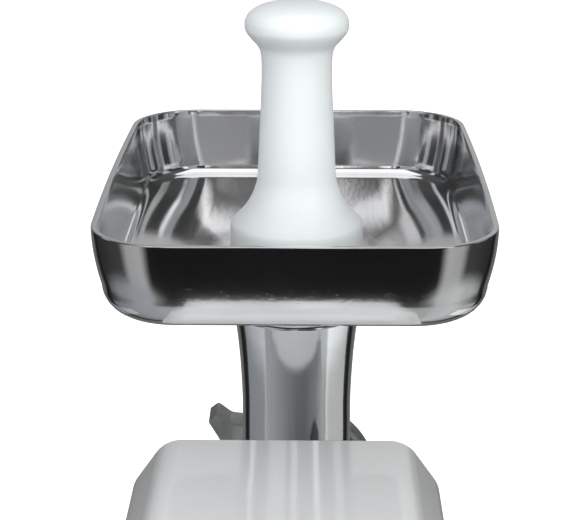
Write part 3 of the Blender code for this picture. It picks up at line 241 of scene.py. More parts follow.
def prism(name, outlines, axis, span):
    """Flat outlines, extruded over a span of one axis; an outline inside another is a hole."""
    curve = bpy.data.curves.new(name, "CURVE")
    curve.dimensions = "2D"
    curve.fill_mode = "BOTH"
    curve.extrude = abs(span[1] - span[0]) / 2
    for outline in outlines:
        spline = curve.splines.new("POLY")
        spline.points.add(len(outline) - 1)
        for point, (u, v) in zip(spline.points, outline, strict=True):
            point.co = (u, v, 0.0, 1.0)
        spline.use_cyclic_u = True
    guide = bpy.data.objects.new(name + "_outline", curve)
    bpy.context.scene.collection.objects.link(guide)
    graph = bpy.context.evaluated_depsgraph_get()
    mesh = bpy.data.meshes.new_from_object(guide.evaluated_get(graph))
    bpy.data.objects.remove(guide)
    bpy.data.curves.remove(curve)
    middle = (span[0] + span[1]) / 2
    bm = bmesh.new()
    bm.from_mesh(mesh)
    bpy.data.meshes.remove(mesh)
    bmesh.ops.remove_doubles(bm, verts=bm.verts, dist=1e-6)
    shift = Matrix.Translation({"X": (middle, 0, 0), "Y": (0, middle, 0), "Z": (0, 0, middle)}[axis])
    bmesh.ops.transform(bm, matrix=shift @ FRAMES[axis].to_4x4(), verts=bm.verts)
    return smooth(add_bmesh(name, bm))


def apply_modifiers(obj):
    graph = bpy.context.evaluated_depsgraph_get()
    mesh = bpy.data.meshes.new_from_object(obj.evaluated_get(graph))
    obj.modifiers.clear()
    obj.data = mesh
    return obj


def combine(target, others, operation):
    """Boolean with each of the others, applied at once; the others are removed."""
    for other in others:
        modifier = target.modifiers.new("combine", "BOOLEAN")
        modifier.operation = operation
        modifier.solver = "EXACT"
        modifier.object = other
    apply_modifiers(target)
    for other in others:
        bpy.data.objects.remove(other)
    return target


def cut(target, *others):
    return combine(target, others, "DIFFERENCE")


def join(target, *others):
    return combine(target, others, "UNION")


def soften(obj, width, segments=3, angle=38):
    """Rounded edges, applied, with the flat faces kept flat in shading."""
    bevel = obj.modifiers.new("soften", "BEVEL")
    bevel.width = width
    bevel.segments = segments
    bevel.limit_method = "ANGLE"
    bevel.angle_limit = math.radians(angle)
    bevel.harden_normals = True
    bevel.miter_outer = "MITER_ARC"
    smooth(obj, 180)
    return apply_modifiers(obj)


# ---------------------------------------------------------------- outlines
def arc(centre, radius, start, stop, steps):
    angles = [start + (stop - start) * i / steps for i in range(steps + 1)]
    return [(centre[0] + radius * math.cos(a), centre[1] + radius * math.sin(a)) for a in angles]


def circle(radius, centre=(0.0, 0.0), steps=SMALL_STEPS, phase=0.0):
    return arc(centre, radius, phase, phase + 2 * math.pi * (steps - 1) / steps, steps - 1)


def rounded(corners, steps=8):
    """A polygon whose corners, given as (x, y, radius), are rounded by arcs."""
    outline = []
    for i, (x, y, radius) in enumerate(corners):
        here = Vector((x, y))
        if radius <= 0:
            outline.append((x, y))
            continue
        before = (Vector(corners[i - 1][:2]) - here).normalized()
        after = (Vector(corners[(i + 1) % len(corners)][:2]) - here).normalized()
        half = before.angle(after) / 2
        centre = here + (before + after).normalized() * (radius / math.sin(half))
        first = here + before * (radius / math.tan(half)) - centre
        sweep = first.angle_signed(here + after * (radius / math.tan(half)) - centre)
        start = math.atan2(first.y, first.x)
        outline += arc(centre, radius, start, start - sweep, steps)
    return outline


def rectangle(half_u, half_v, radius, centre=(0.0, 0.0), steps=8):
    u, v = centre
    signs = ((1, 1), (-1, 1), (-1, -1), (1, -1))
    return rounded([(u + a * half_u, v + b * half_v, radius) for a, b in signs], steps)


def spline(points, steps=6):
    """A smooth curve through (r, z) points, with its ends kept."""
    ends = [points[0], *points, points[-1]]
    curve = []
    for before, a, b, after in zip(ends, ends[1:], ends[2:], ends[3:], strict=False):
        for i in range(steps):
            t = i / steps
            weights = (
                (-t + 2 * t**2 - t**3) / 2,
                (2 - 5 * t**2 + 3 * t**3) / 2,
                (t + 4 * t**2 - 3 * t**3) / 2,
                (-(t**2) + t**3) / 2,
            )
            four = (before, a, b, after)
            curve.append(tuple(sum(w * p[k] for w, p in zip(weights, four, strict=True)) for k in (0, 1)))
    return [*curve, points[-1]]


def housing_corners(inset, bottom, bottom_radius):
    slope = math.hypot(CHAMFER_X, CHAMFER_Z)
    normal = Vector((CHAMFER_Z / slope, CHAMFER_X / slope))
    half = HOUSING_HALF_X - inset
    top = HOUSING_TOP - inset
    shoulder_x = HOUSING_HALF_X - CHAMFER_X - inset * normal.x / (1 + normal.y)
    shoulder_z = HOUSING_TOP - CHAMFER_Z - inset * normal.y / (1 + normal.x)
    blend = CHAMFER_ROUND - inset
    return [
        (HOUSING_X + half, bottom, bottom_radius),
        (HOUSING_X + half, shoulder_z, blend),
        (HOUSING_X + shoulder_x, top, blend),
        (HOUSING_X - shoulder_x, top, blend),
        (HOUSING_X - half, shoulder_z, blend),
        (HOUSING_X - half, bottom, bottom_radius),
    ]


def housing_ring(inset, y, bottom):
    return [(x, y, z) for x, z in rounded(housing_corners(inset, bottom, 0.0015), 12)]


# ---------------------------------------------------------------- materials
class Paint:
    """A node material under construction, around its Principled shader."""

    def __init__(self, name, colour, roughness, metallic=0.0, **sockets):
        self.material = bpy.data.materials.new(name)
        self.material.use_nodes = True
        self.tree = self.material.node_tree
        self.shader = self.tree.nodes["Principled BSDF"]
        self.set("Base Color", (*colour, 1.0))
        self.set("Roughness", roughness)
        self.set("Metallic", metallic)
        for socket, value in sockets.items():
            self.set(socket.replace("_", " "), value)
        self.coordinates = self.node("ShaderNodeTexCoord").outputs["Object"]
        self.height = None

    def set(self, socket, value):
        self.shader.inputs[socket].default_value = value

    def node(self, kind, **settings):
        made = self.tree.nodes.new(kind)
        for key, value in settings.items():
            setattr(made, key, value)
        return made

    def link(self, source, target):
        self.tree.links.new(source, target)

    def noise(self, scale, detail=3.0, stretch=(1, 1, 1), distortion=0.0):
        mapping = self.node("ShaderNodeMapping")
        mapping.inputs["Scale"].default_value = stretch
        self.link(self.coordinates, mapping.inputs["Vector"])
        noise = self.node("ShaderNodeTexNoise")
        noise.inputs["Scale"].default_value = scale
        noise.inputs["Detail"].default_value = detail
        noise.inputs["Roughness"].default_value = 0.55
        noise.inputs["Distortion"].default_value = distortion
        self.link(mapping.outputs["Vector"], noise.inputs["Vector"])
        return noise.outputs["Fac"]

    def cells(self, scale):
        cells = self.node("ShaderNodeTexVoronoi")
        cells.inputs["Scale"].default_value = scale
        self.link(self.coordinates, cells.inputs["Vector"])
        return cells.outputs["Distance"]

    def spread(self, source, low, high, start=0.3, stop=0.7):
        """The source, remapped from start..stop to low..high."""
        remap = self.node("ShaderNodeMapRange")
        remap.inputs["From Min"].default_value = start
        remap.inputs["From Max"].default_value = stop
        remap.inputs["To Min"].default_value = low
        remap.inputs["To Max"].default_value = high
        self.link(source, remap.inputs["Value"])
        return remap.outputs["Result"]

    def vary_roughness(self, source, low, high, start=0.3, stop=0.7):
        self.link(self.spread(source, low, high, start, stop), self.shader.inputs["Roughness"])

    def vary_colour(self, source, first, second, start=0.3, stop=0.7):
        ramp = self.node("ShaderNodeValToRGB")
        ramp.color_ramp.elements[0].position = start
        ramp.color_ramp.elements[1].position = stop
        ramp.color_ramp.elements[0].color = (*first, 1.0)
        ramp.color_ramp.elements[1].color = (*second, 1.0)
        self.link(source, ramp.inputs["Fac"])
        self.link(ramp.outputs["Color"], self.shader.inputs["Base Color"])

    def bump(self, source, strength, distance):
        """Adds a layer of relief; distance is the depth in metres."""
        bump = self.node("ShaderNodeBump")
        bump.inputs["Strength"].default_value = strength
        bump.inputs["Distance"].default_value = distance
        self.link(source, bump.inputs["Height"])
        if self.height:
            self.link(self.height, bump.inputs["Normal"])
        self.height = bump.outputs["Normal"]
        self.link(self.height, self.shader.inputs["Normal"])


def polished_aluminium():
    """Buffed aluminium: fine buffing marks, soft smears and a few pits."""
    paint = Paint("polished_aluminium", (0.80, 0.80, 0.81), 0.16, 1.0)
    smear = paint.noise(9, 3, distortion=0.6)
    paint.vary_roughness(smear, 0.07, 0.12)
    paint.vary_colour(paint.noise(30, 4), (0.76, 0.765, 0.775), (0.84, 0.84, 0.845))
    paint.bump(paint.noise(420, 2), 0.10, 0.00010)
    paint.bump(paint.spread(paint.cells(520), 0.0, 1.0, 0.02, 0.16), 0.10, 0.00012)
    paint.bump(paint.noise(16, 2), 0.10, 0.0006)
    return paint.material


def cast_aluminium():
    """Tumbled casting: fine grain over broader unevenness."""
    paint = Paint("cast_aluminium", (0.55, 0.56, 0.55), 0.40, 1.0)
    paint.vary_colour(paint.noise(60, 5), (0.47, 0.48, 0.475), (0.63, 0.635, 0.63))
    paint.vary_roughness(paint.noise(220, 3), 0.34, 0.52)
    paint.bump(paint.noise(1500, 3), 0.35, 0.00012)
    paint.bump(paint.noise(240, 3), 0.20, 0.00025)
    return paint.material


def white_gloss():
    """Glossy moulded housing with a trace of surface ripple."""
    paint = Paint("white_gloss", (0.86, 0.86, 0.865), 0.13, 0.0, Specular_IOR_Level=0.45, Coat_Weight=1.0)
    paint.set("Coat Roughness", 0.03)
    paint.vary_colour(paint.noise(7, 3), (0.845, 0.845, 0.85), (0.875, 0.875, 0.88))
    paint.vary_roughness(paint.noise(35, 4), 0.10, 0.18)
    paint.bump(paint.noise(55, 2), 0.05, 0.0004)
    paint.bump(paint.noise(900, 2), 0.03, 0.00005)
    return paint.material


def white_satin():
    """Satin plastic of the pusher, very finely textured."""
    paint = Paint("white_satin", (0.84, 0.865, 0.87), 0.34, 0.0, Specular_IOR_Level=0.45)
    paint.set("Subsurface Weight", 0.04)
    paint.set("Subsurface Radius", (0.004, 0.004, 0.004))
    paint.vary_colour(paint.noise(18, 3), (0.825, 0.85, 0.855), (0.85, 0.875, 0.88))
    paint.vary_roughness(paint.noise(120, 3), 0.30, 0.40)
    paint.bump(paint.noise(1400, 2), 0.06, 0.00008)
    return paint.material


def moulded(name, colour, roughness, grain=1200, depth=0.00012):
    """Textured plastic: spark-eroded grain and slight colour drift."""
    paint = Paint(name, colour, roughness, 0.0)
    light = tuple(min(1.0, c * 1.12 + 0.004) for c in colour)
    dark = tuple(c * 0.9 for c in colour)
    paint.vary_colour(paint.noise(26, 4), dark, light)
    paint.vary_roughness(paint.noise(160, 3), roughness - 0.06, roughness + 0.08)
    paint.bump(paint.noise(grain, 3), 0.30, depth)
    return paint.material


def rubber():
    paint = Paint("rubber", (0.035, 0.035, 0.036), 0.78, 0.0, Specular_IOR_Level=0.3)
    paint.vary_colour(paint.noise(90, 4), (0.026, 0.026, 0.027), (0.052, 0.052, 0.054))
    paint.vary_roughness(paint.noise(200, 3), 0.70, 0.88)
    paint.bump(paint.noise(800, 4), 0.35, 0.00015)
    return paint.material


def steel():
    """Ground steel with fine parallel marks."""
    paint = Paint("steel", (0.60, 0.60, 0.61), 0.26, 1.0)
    paint.vary_colour(paint.noise(50, 4), (0.55, 0.55, 0.56), (0.66, 0.66, 0.67))
    paint.vary_roughness(paint.noise(500, 3, (1, 1, 14)), 0.20, 0.36)
    paint.bump(paint.noise(700, 2, (1, 1, 16)), 0.16, 0.00008)
    return paint.material


def warm_metal(name, dark, light, roughness):
    paint = Paint(name, light, roughness, 1.0)
    paint.vary_colour(paint.noise(70, 5), dark, light)
    paint.vary_roughness(paint.noise(300, 3), roughness - 0.07, roughness + 0.10)
    paint.bump(paint.noise(900, 2, (1, 8, 1)), 0.15, 0.00010)
    return paint.material


def lamination():
    """Stacked sheets: fine rings across the motor's length."""
    paint = Paint("lamination", (0.30, 0.30, 0.32), 0.5, 1.0)
    waves = paint.node("ShaderNodeTexWave", bands_direction="Y")
    waves.inputs["Scale"].default_value = 300.0
    paint.link(paint.coordinates, waves.inputs["Vector"])
    paint.vary_colour(paint.noise(80, 4), (0.24, 0.24, 0.26), (0.36, 0.36, 0.38))
    paint.vary_roughness(paint.noise(150, 3), 0.42, 0.6)
    paint.bump(waves.outputs["Fac"], 0.4, 0.00015)
    return paint.material


def all_materials():
    return {
        "polished_aluminium": polished_aluminium(),
        "cast_aluminium": cast_aluminium(),
        "white_gloss": white_gloss(),
        "white_satin": white_satin(),
        "grey_plastic": moulded("grey_plastic", (0.20, 0.21, 0.22), 0.42),
        "black_plastic": moulded("black_plastic", (0.030, 0.030, 0.033), 0.45),
        "nylon": moulded("nylon", (0.72, 0.70, 0.62), 0.46, 600, 0.00008),
        "rubber": rubber(),
        "steel": steel(),
        "lamination": lamination(),
        "bronze": warm_metal("bronze", (0.52, 0.36, 0.16), (0.66, 0.48, 0.24), 0.34),
        "copper": warm_metal("copper", (0.62, 0.27, 0.11), (0.76, 0.38, 0.18), 0.34),
        "carbon": moulded("carbon", (0.05, 0.05, 0.052), 0.6, 900, 0.0002),
    }


MATERIALS = all_materials()
SLOT_OF = {entry["node"]: entry["material_slot"] for entry in frame["record"]["subparts"]}
BODY_OF = {
    node: body for body, nodes in frame["record"]["behaviour"]["bodies"].items() for node in nodes
}


def stand_for(piece, node):
    """The piece takes the node's body, slot, material and place."""
    piece.data.materials.clear()
    piece.data.materials.append(MATERIALS[SLOT_OF[node]])
    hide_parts(node)
    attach(piece, BODY_OF[node])
    return piece


# ---------------------------------------------------------------- feed tray
CORNER_STEPS = 14
SIDE_STEPS = 13


def tray_outline(half_x, half_y, corner):
    """A rounded rectangle with points along its sides, its long sides slightly bulged."""
    corners = rectangle(half_x, half_y, corner, steps=CORNER_STEPS)
    points = []
    for i, (x, y) in enumerate(corners):
        points.append((x, y))
        if (i + 1) % (CORNER_STEPS + 1) == 0:
            end = corners[(i + 1) % len(corners)]
            for k in range(1, SIDE_STEPS):
                t = k / SIDE_STEPS
                points.append((x + (end[0] - x) * t, y + (end[1] - y) * t))
    bulge = TRAY_BULGE / half_x
    return [(x * (1 + bulge * (1 - (y / half_y) ** 2)), y) for x, y in points]


def tray_ring(inset, z, draft=0.0):
    """A level of the bowl; draft runs from 0 at the rim to 1 where the walls turn into the floor."""
    corner = max(TRAY_CORNER - inset, 0.008)
    half_x = TRAY_HALF_X - inset - TRAY_DRAFT_X * draft
    half_y = TRAY_HALF_Y - inset - TRAY_DRAFT_Y * draft
    return [(x, THROAT_Y + y, z) for x, y in tray_outline(half_x, half_y, corner)]


def round_ring(radius, z):
    """A circle about the throat, its points spread so that each faces one of a tray ring's."""
    quarter = CORNER_STEPS + SIDE_STEPS
    start = math.radians(90) * (1 - CORNER_STEPS / quarter) / 2
    outline = circle(radius, (0.0, THROAT_Y), 4 * quarter, start)
    return [(x, y, z) for x, y in outline]


def bowl_side(offset, crease, rise=0.0):
    """Levels from just under the rim down to the floor, for a skin that lies offset inside the outer one."""
    wall_top = RIM_Z - RIM_ROUND
    wall_bottom = RIM_Z - TRAY_DEPTH + offset + rise + crease
    levels = []
    for i in range(8):
        t = i / 8
        levels.append(tray_ring(offset, wall_top + (wall_bottom - wall_top) * t, t * t))
    steps = 10
    for i in range(steps + 1):
        angle = math.radians(90) * i / steps
        inset = offset + crease * (1 - math.cos(angle))
        levels.append(tray_ring(inset, wall_bottom - crease * math.sin(angle), 1.0))
    return levels


def funnel(outer, inner, steps=14):
    """Levels between two rings of the floor."""
    pairs = [(Vector(a), Vector(b)) for a, b in zip(outer, inner, strict=True)]
    return [[a.lerp(b, i / steps) for a, b in pairs] for i in range(1, steps)]


def make_tray():
    floor = RIM_Z - TRAY_DEPTH + TRAY_WALL - MOUTH_DROP
    underside = RIM_Z - TRAY_DEPTH - MOUTH_DROP
    spigot_r = SPIGOT_SEAT_R - GAP
    spigot_z = SPIGOT_SEAT_Z + 0.002
    edge = []
    for angle in (math.radians(30), math.radians(60), math.radians(90)):
        edge.append((RIM_ROUND * (1 - math.cos(angle)), RIM_Z - RIM_ROUND * (1 - math.sin(angle))))
    rim = [tray_ring(inset, z) for inset, z in edge]
    rim += [tray_ring(TRAY_WALL - inset, z) for inset, z in reversed(edge)]
    inside = bowl_side(TRAY_WALL, TRAY_CREASE_INSIDE, TRAY_RISE)
    mouth = [round_ring(r, z) for r, z in mouth_profile(floor)]
    flare = [
        (NECK_R, JOINT_Z + 0.008),
        (NECK_R + 0.0003, JOINT_Z + 0.0155),
        (MOUTH_R, underside - 0.0025),
    ]
    neck = [
        (NECK_BORE_R, spigot_z + 0.0008),
        (NECK_BORE_R + 0.0008, spigot_z),
        (spigot_r - 0.0006, spigot_z),
        (spigot_r, spigot_z + 0.0006),
        (spigot_r, JOINT_Z + GAP),
        (NECK_R - 0.0007, JOINT_Z + GAP),
        (NECK_R - 0.0002, JOINT_Z + GAP + 0.0002),
        (NECK_R, JOINT_Z + GAP + 0.0007),
        *spline(flare),
        *spline([(MOUTH_R + 0.0022, underside - 0.0010), (MOUTH_R + 0.006, underside)], 3),
    ]
    outside = bowl_side(0.0, TRAY_CREASE)[::-1]
    floor_levels = funnel(inside[-1], mouth[0])
    rings = inside + floor_levels + mouth + [round_ring(r, z) for r, z in neck] + outside + rim
    tray = loft("tray_bowl", rings, endless=True)
    return stand_for(tray, "tray")


def mouth_profile(floor):
    """The rounded mouth in the tray's floor and the bore below it."""
    curve = [
        (MOUTH_R + 0.004, floor),
        (MOUTH_R - 0.0005, floor - 0.0005),
        (MOUTH_R - 0.0030, floor - 0.0022),
        (MOUTH_R - 0.0060, floor - 0.0060),
        (NECK_BORE_R + 0.0006, floor - 0.0105),
        (NECK_BORE_R, floor - 0.0150),
    ]
    return spline(curve, 4) + [(NECK_BORE_R, floor - 0.030)]


# ---------------------------------------------------------------- pusher
def pusher_profile():
    """Outer side of the pusher from its top to the foot of its plunger, then its hollow."""
    knob = [(0.0, KNOB_RISE)]
    steps = 14
    power = 2 / KNOB_POWER
    for i in range(1, steps + 1):
        angle = math.radians(90 - 90 * i / steps)
        knob.append((KNOB_R * math.cos(angle) ** power, KNOB_RISE * math.sin(angle) ** power))
    under = [
        (0.0226, -0.0018),
        (0.0215, -0.0038),
        (0.0192, -0.0066),
        (0.0170, -0.0092),
        (0.0159, -0.0122),
        (0.0155, -0.0170),
        (0.0156, -0.0250),
        (0.0161, -0.0370),
        (0.0168, -0.0520),
        (0.0174, -0.0650),
        (0.0180, -0.0710),
        (0.0203, -0.0775),
        (0.0241, -0.0835),
        (0.0278, -0.0875),
        (0.0294, -0.0893),
        (0.0300, -0.0912),
    ]
    side = [(r, KNOB_Z + z) for r, z in knob[:-1] + spline([knob[-1], *under], 5)]
    foot = [(0.0300, -0.0358), (0.0299, -0.0365), (0.0287, -0.0401), (0.0282, -0.0406), (0.0230, -0.0412)]
    plunger_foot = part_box("pusher")[0].z
    outside = [(r, RIM_Z + z) for r, z in side + foot]
    outside += [
        (PLUNGER_R, RIM_Z - 0.0430),
        (PLUNGER_R, plunger_foot + 0.0010),
        (PLUNGER_R - 0.0010, plunger_foot),
    ]
    hollow = [
        (PLUNGER_BORE_R + 0.0006, plunger_foot),
        (PLUNGER_BORE_R, plunger_foot + 0.0006),
        (PLUNGER_BORE_R, RIM_Z - 0.030),
        (0.0130, RIM_Z - 0.010),
        (0.0130, RIM_Z + 0.050),
        (0.0, RIM_Z + 0.058),
    ]
    return outside + hollow


def make_pusher():
    return stand_for(turned("pusher_body", pusher_profile(), (0.0, THROAT_Y), "Z"), "pusher")


# ---------------------------------------------------------------- head
def feed_tube_solid():
    """The feed tube's outside: a flared top, a plain shaft and a cast fillet that meets the barrel."""
    top = [
        (NECK_R - 0.0007, JOINT_Z),
        (NECK_R - 0.0002, JOINT_Z - 0.0002),
        (NECK_R, JOINT_Z - 0.0007),
        (0.0284, JOINT_Z - 0.0045),
        (0.0274, JOINT_Z - 0.0120),
        (0.0264, JOINT_Z - 0.0225),
        (0.0257, JOINT_Z - 0.0340),
        (TUBE_R, JOINT_Z - 0.0450),
        (TUBE_R, JOINT_Z - 0.0560),
    ]
    curve = top[:2] + spline(top[2:], 5)
    rings = [[(r * c, THROAT_Y + r * s, z) for c, s in circle(1.0, steps=TURN_STEPS)] for r, z in curve]
    fillet = 0.0042
    steps = 8
    for i in range(steps + 1):
        angle = math.radians(90) * i / steps
        r = TUBE_R + fillet * (1 - math.cos(angle))
        ring = []
        for c, s in circle(1.0, steps=TURN_STEPS):
            saddle = math.sqrt(BARREL_BODY_R**2 - (r * c) ** 2)
            ring.append((r * c, THROAT_Y + r * s, AXIS_Z + saddle + fillet * (1 - math.sin(angle)) - 0.0004))
        rings.append(ring)
    r = TUBE_R - 0.001
    rings.append([(r * c, THROAT_Y + r * s, AXIS_Z + 0.004) for c, s in circle(1.0, steps=TURN_STEPS)])
    return loft("feed_tube", rings)


def barrel_solid():
    """The barrel's outside and its stepped bore, from the bayonet end to the plate's seat."""
    rear, front = HEAD_HIGH.y, HEAD_LOW.y
    neck = [
        (BARREL_BODY_R, -0.1125),
        (0.0306, -0.1150),
        (0.0330, -0.1180),
        (0.0349, -0.1202),
        (SEAT_R, -0.1235),
    ]
    profile = [
        (BARREL_R - 0.0008, rear),
        (BARREL_R, rear - 0.0008),
        (BARREL_R, FLANGE_Y[1]),
        (FLANGE_R - 0.0006, FLANGE_Y[1]),
        (FLANGE_R, FLANGE_Y[1] - 0.0006),
        (FLANGE_R, FLANGE_Y[0] + 0.0006),
        (FLANGE_R - 0.0006, FLANGE_Y[0]),
        (BARREL_BODY_R + 0.0015, FLANGE_Y[0]),
        (BARREL_BODY_R + 0.0004, FLANGE_Y[0] - 0.0005),
        (BARREL_BODY_R, FLANGE_Y[0] - 0.0018),
        *spline(neck, 4),
        *thread_profile(SEAT_R, -0.1265, front + 0.0014),
        (SEAT_R - 0.0008, front),
        (SEAT_BORE_R, front),
        (SEAT_BORE_R, SEAT_START_Y),
        (BARREL_BORE_R, SEAT_START_Y),
        (BARREL_BORE_R, -0.0250),
        (0.0122, -0.0220),
        (0.0122, rear),
    ]
    return turned("barrel", profile, (0.0, AXIS_Z), "Y")


def thread_profile(radius, start, stop):
    """Ridges of the ring nut's thread, kept inside the given radius."""
    count = 5
    pitch = (stop - start) / count
    root = radius - 0.0006
    points = []
    for i in range(count):
        y = start + pitch * i
        points += [(radius, y), (radius, y + pitch * 0.35)]
        points += [(root, y + pitch * 0.5), (root, y + pitch * 0.85)]
    return [*points, (radius, stop)]


def make_head():
    head = join(barrel_solid(), feed_tube_solid(), *bayonet_lugs())
    bore = [
        (0.0, JOINT_Z + 0.010),
        (SPIGOT_SEAT_R, JOINT_Z + 0.010),
        (SPIGOT_SEAT_R, JOINT_Z - 0.0006),
        (SPIGOT_SEAT_R, SPIGOT_SEAT_Z),
        (TUBE_BORE_R, SPIGOT_SEAT_Z - 0.002),
        (TUBE_BORE_R, AXIS_Z + 0.002),
        (0.0, AXIS_Z + 0.002),
    ]
    cut(head, turned("feed_bore", bore, (0.0, THROAT_Y), "Z"))
    return stand_for(smooth(head, 40), "head_casting")


def bayonet_lugs():
    lugs = []
    for i in range(LUG_COUNT):
        low = (-BAYONET_LUG_X, BAYONET_LUG_Y[0], BARREL_R - 0.002)
        lug = box(f"lug_{i}", low, (BAYONET_LUG_X, BAYONET_LUG_Y[1], LUG_R))
        turn = Matrix.Translation((0.0, 0.0, AXIS_Z)) @ Matrix.Rotation(2 * math.pi * i / LUG_COUNT, 4, "Y")
        lug.data.transform(turn)
        lugs.append(lug)
    return lugs


def make_ring_nut():
    rear, front = NUT_HIGH.y, NUT_LOW.y
    profile = [
        (0.0382, rear),
        (NUT_R - 0.0004, rear - 0.0013),
        (NUT_R, rear - 0.0022),
        (NUT_R, front + 0.0042),
        (NUT_R - 0.0004, front + 0.0028),
        (NUT_R - 0.0014, front + 0.0013),
        (0.0370, front + 0.0002),
        (0.0352, front),
        (NUT_LIP_R + 0.0012, front),
        (NUT_LIP_R + 0.0003, front + 0.0003),
        (NUT_LIP_R, front + 0.0012),
        (NUT_LIP_R, NUT_LIP_Y),
        (NUT_BORE_R, NUT_LIP_Y),
        (NUT_BORE_R, rear - 0.0008),
        (NUT_BORE_R + 0.0008, rear),
    ]
    nut = turned("nut_ring", profile, (0.0, AXIS_Z), "Y")
    lugs = []
    for side in (0, 1):
        lug = prism(f"nut_lug_{side}", [rounded(NUT_LUG)], "Y", (front + 0.0005, rear - 0.0005))
        turn = Matrix.Rotation(-NUT_LUG_ANGLE - math.pi * side, 4, "Y")
        lug.data.transform(Matrix.Translation((0.0, 0.0, AXIS_Z)) @ turn)
        lugs.append(soften(lug, 0.0007, 3, 50))
    join(nut, *lugs)
    return stand_for(smooth(nut, 40), "ring_nut")


def make_cutting_plate():
    rim = arc((0.0, AXIS_Z), PLATE_R, math.radians(97), math.radians(443), 110)
    notch_z = AXIS_Z + PLATE_NOTCH_R
    outlines = [rim + [(PLATE_NOTCH_X, notch_z), (-PLATE_NOTCH_X, notch_z)]]
    outlines.append(circle(PLATE_CENTRE_R, (0.0, AXIS_Z), 32))
    for radius, count in PLATE_ROWS:
        for i in range(count):
            angle = 2 * math.pi * (i + 0.5) / count
            centre = (radius * math.cos(angle), AXIS_Z + radius * math.sin(angle))
            outlines.append(circle(PLATE_HOLE_R, centre, 24))
    plate = prism("plate_disc", outlines, "Y", (PLATE_LOW.y, PLATE_HIGH.y))
    return stand_for(soften(plate, 0.00022, 2), "cutting_plate")


# ---------------------------------------------------------------- housing
def make_housing():
    """One-piece moulding with a rounded front edge, hollow and open below and behind."""
    front, rear, bottom = SHELL_LOW.y, SHELL_HIGH.y, SHELL_LOW.z
    round_over = 0.0026
    rings = []
    for i in range(7):
        angle = math.radians(90) * i / 6
        inset = round_over * (1 - math.sin(angle))
        rings.append(housing_ring(inset, front + round_over * (1 - math.cos(angle)), bottom))
    rings.append(housing_ring(0.0, rear - 0.0006, bottom))
    rings.append(housing_ring(0.0006, rear, bottom))
    shell = loft("housing_moulding", rings)
    inner_outline = rounded(housing_corners(WALL, bottom - 0.010, 0.0), 12)
    hollow = prism("hollow", [inner_outline], "Y", (front + WALL, rear + 0.010))
    through = (front - 0.01, front + 0.01)
    collar_hole = prism("collar_hole", [circle(COLLAR_HOLE_R, (0.0, AXIS_Z), 96)], "Y", through)
    button_hole = prism("button_hole", [circle(BUTTON_HOLE_R, button_centre())], "Y", through)
    middle = (SWITCH_LOW + SWITCH_HIGH) / 2
    window = box(
        "window",
        (SHELL_HIGH.x - 0.005, middle.y - WINDOW_Y, middle.z - WINDOW_Z),
        (SHELL_HIGH.x + 0.002, middle.y + WINDOW_Y, middle.z + WINDOW_Z),
    )
    cut(shell, hollow, collar_hole, button_hole, window)
    return stand_for(smooth(shell, 40), "housing_shell")


def vent_rows(first, pitch, count):
    return [first + pitch * row for row in range(count)]


def cover_screw_places():
    places = []
    for i in range(1, 5):
        low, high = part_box(f"cover_screw_{i}")
        places.append(((low.x + high.x) / 2, (low.z + high.z) / 2))
    return places


def make_rear_cover():
    front, rear, bottom = COVER_LOW.y, COVER_HIGH.y, COVER_LOW.z
    round_over = 0.0022
    rings = [housing_ring(0.0006, front, bottom), housing_ring(0.0, front + 0.0006, bottom)]
    for i in range(7):
        angle = math.radians(90) * i / 6
        inset = round_over * (1 - math.cos(angle))
        rings.append(housing_ring(inset, rear - round_over * (1 - math.sin(angle)), bottom))
    cover = loft("cover_moulding", rings)
    span = (front - 0.01, rear + 0.01)
    holes = [circle(COVER_SCREW_HOLE_R, place, 24) for place in cover_screw_places()]
    gland = ((GLAND_LOW.x + GLAND_HIGH.x) / 2, (GLAND_LOW.z + GLAND_HIGH.z) / 2)
    holes.append(circle(GLAND_HOLE_R, gland))
    holes += [rectangle(*COVER_VENT, (HOUSING_X, z), 6) for z in vent_rows(*COVER_VENT_ROWS)]
    cut(cover, *[prism(f"hole_{i}", [hole], "Y", span) for i, hole in enumerate(holes)])
    return stand_for(smooth(cover, 40), "rear_cover")


def make_collar():
    """Socket for the head, with its lip notched to let the bayonet lugs in."""
    front, rear = COLLAR_LOW.y, COLLAR_HIGH.y
    wall_face = SHELL_LOW.y - GAP
    profile = [
        (0.0388, front),
        (0.0395, front + 0.0004),
        (0.0398, front + 0.0011),
        (0.0398, wall_face),
        (0.0360, wall_face),
        (0.0360, rear),
        (0.0325, rear),
        (0.0325, COLLAR_LIP_Y),
        (0.0290, COLLAR_LIP_Y),
        (0.0290, front + 0.0006),
        (0.0296, front),
    ]
    collar = turned("collar_ring", profile, (0.0, AXIS_Z), "Y")
    notches = []
    for i in range(LUG_COUNT):
        notch = box(f"notch_{i}", (-0.006, front - 0.001, 0.025), (0.006, -0.0240, 0.0322))
        turn = Matrix.Rotation(2 * math.pi * i / LUG_COUNT + HEAD_TURN, 4, "Y")
        notch.data.transform(Matrix.Translation((0.0, 0.0, AXIS_Z)) @ turn)
        notches.append(notch)
    cut(collar, *notches)
    return stand_for(smooth(collar, 40), "socket_collar")


def node_centre(node, axis):
    low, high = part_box(node)
    middle = (low + high) / 2
    return (middle.x, middle.y) if axis == "Z" else (middle.x, middle.z)


def button_centre():
    return ((BUTTON_LOW.x + BUTTON_HIGH.x) / 2, (BUTTON_LOW.z + BUTTON_HIGH.z) / 2)


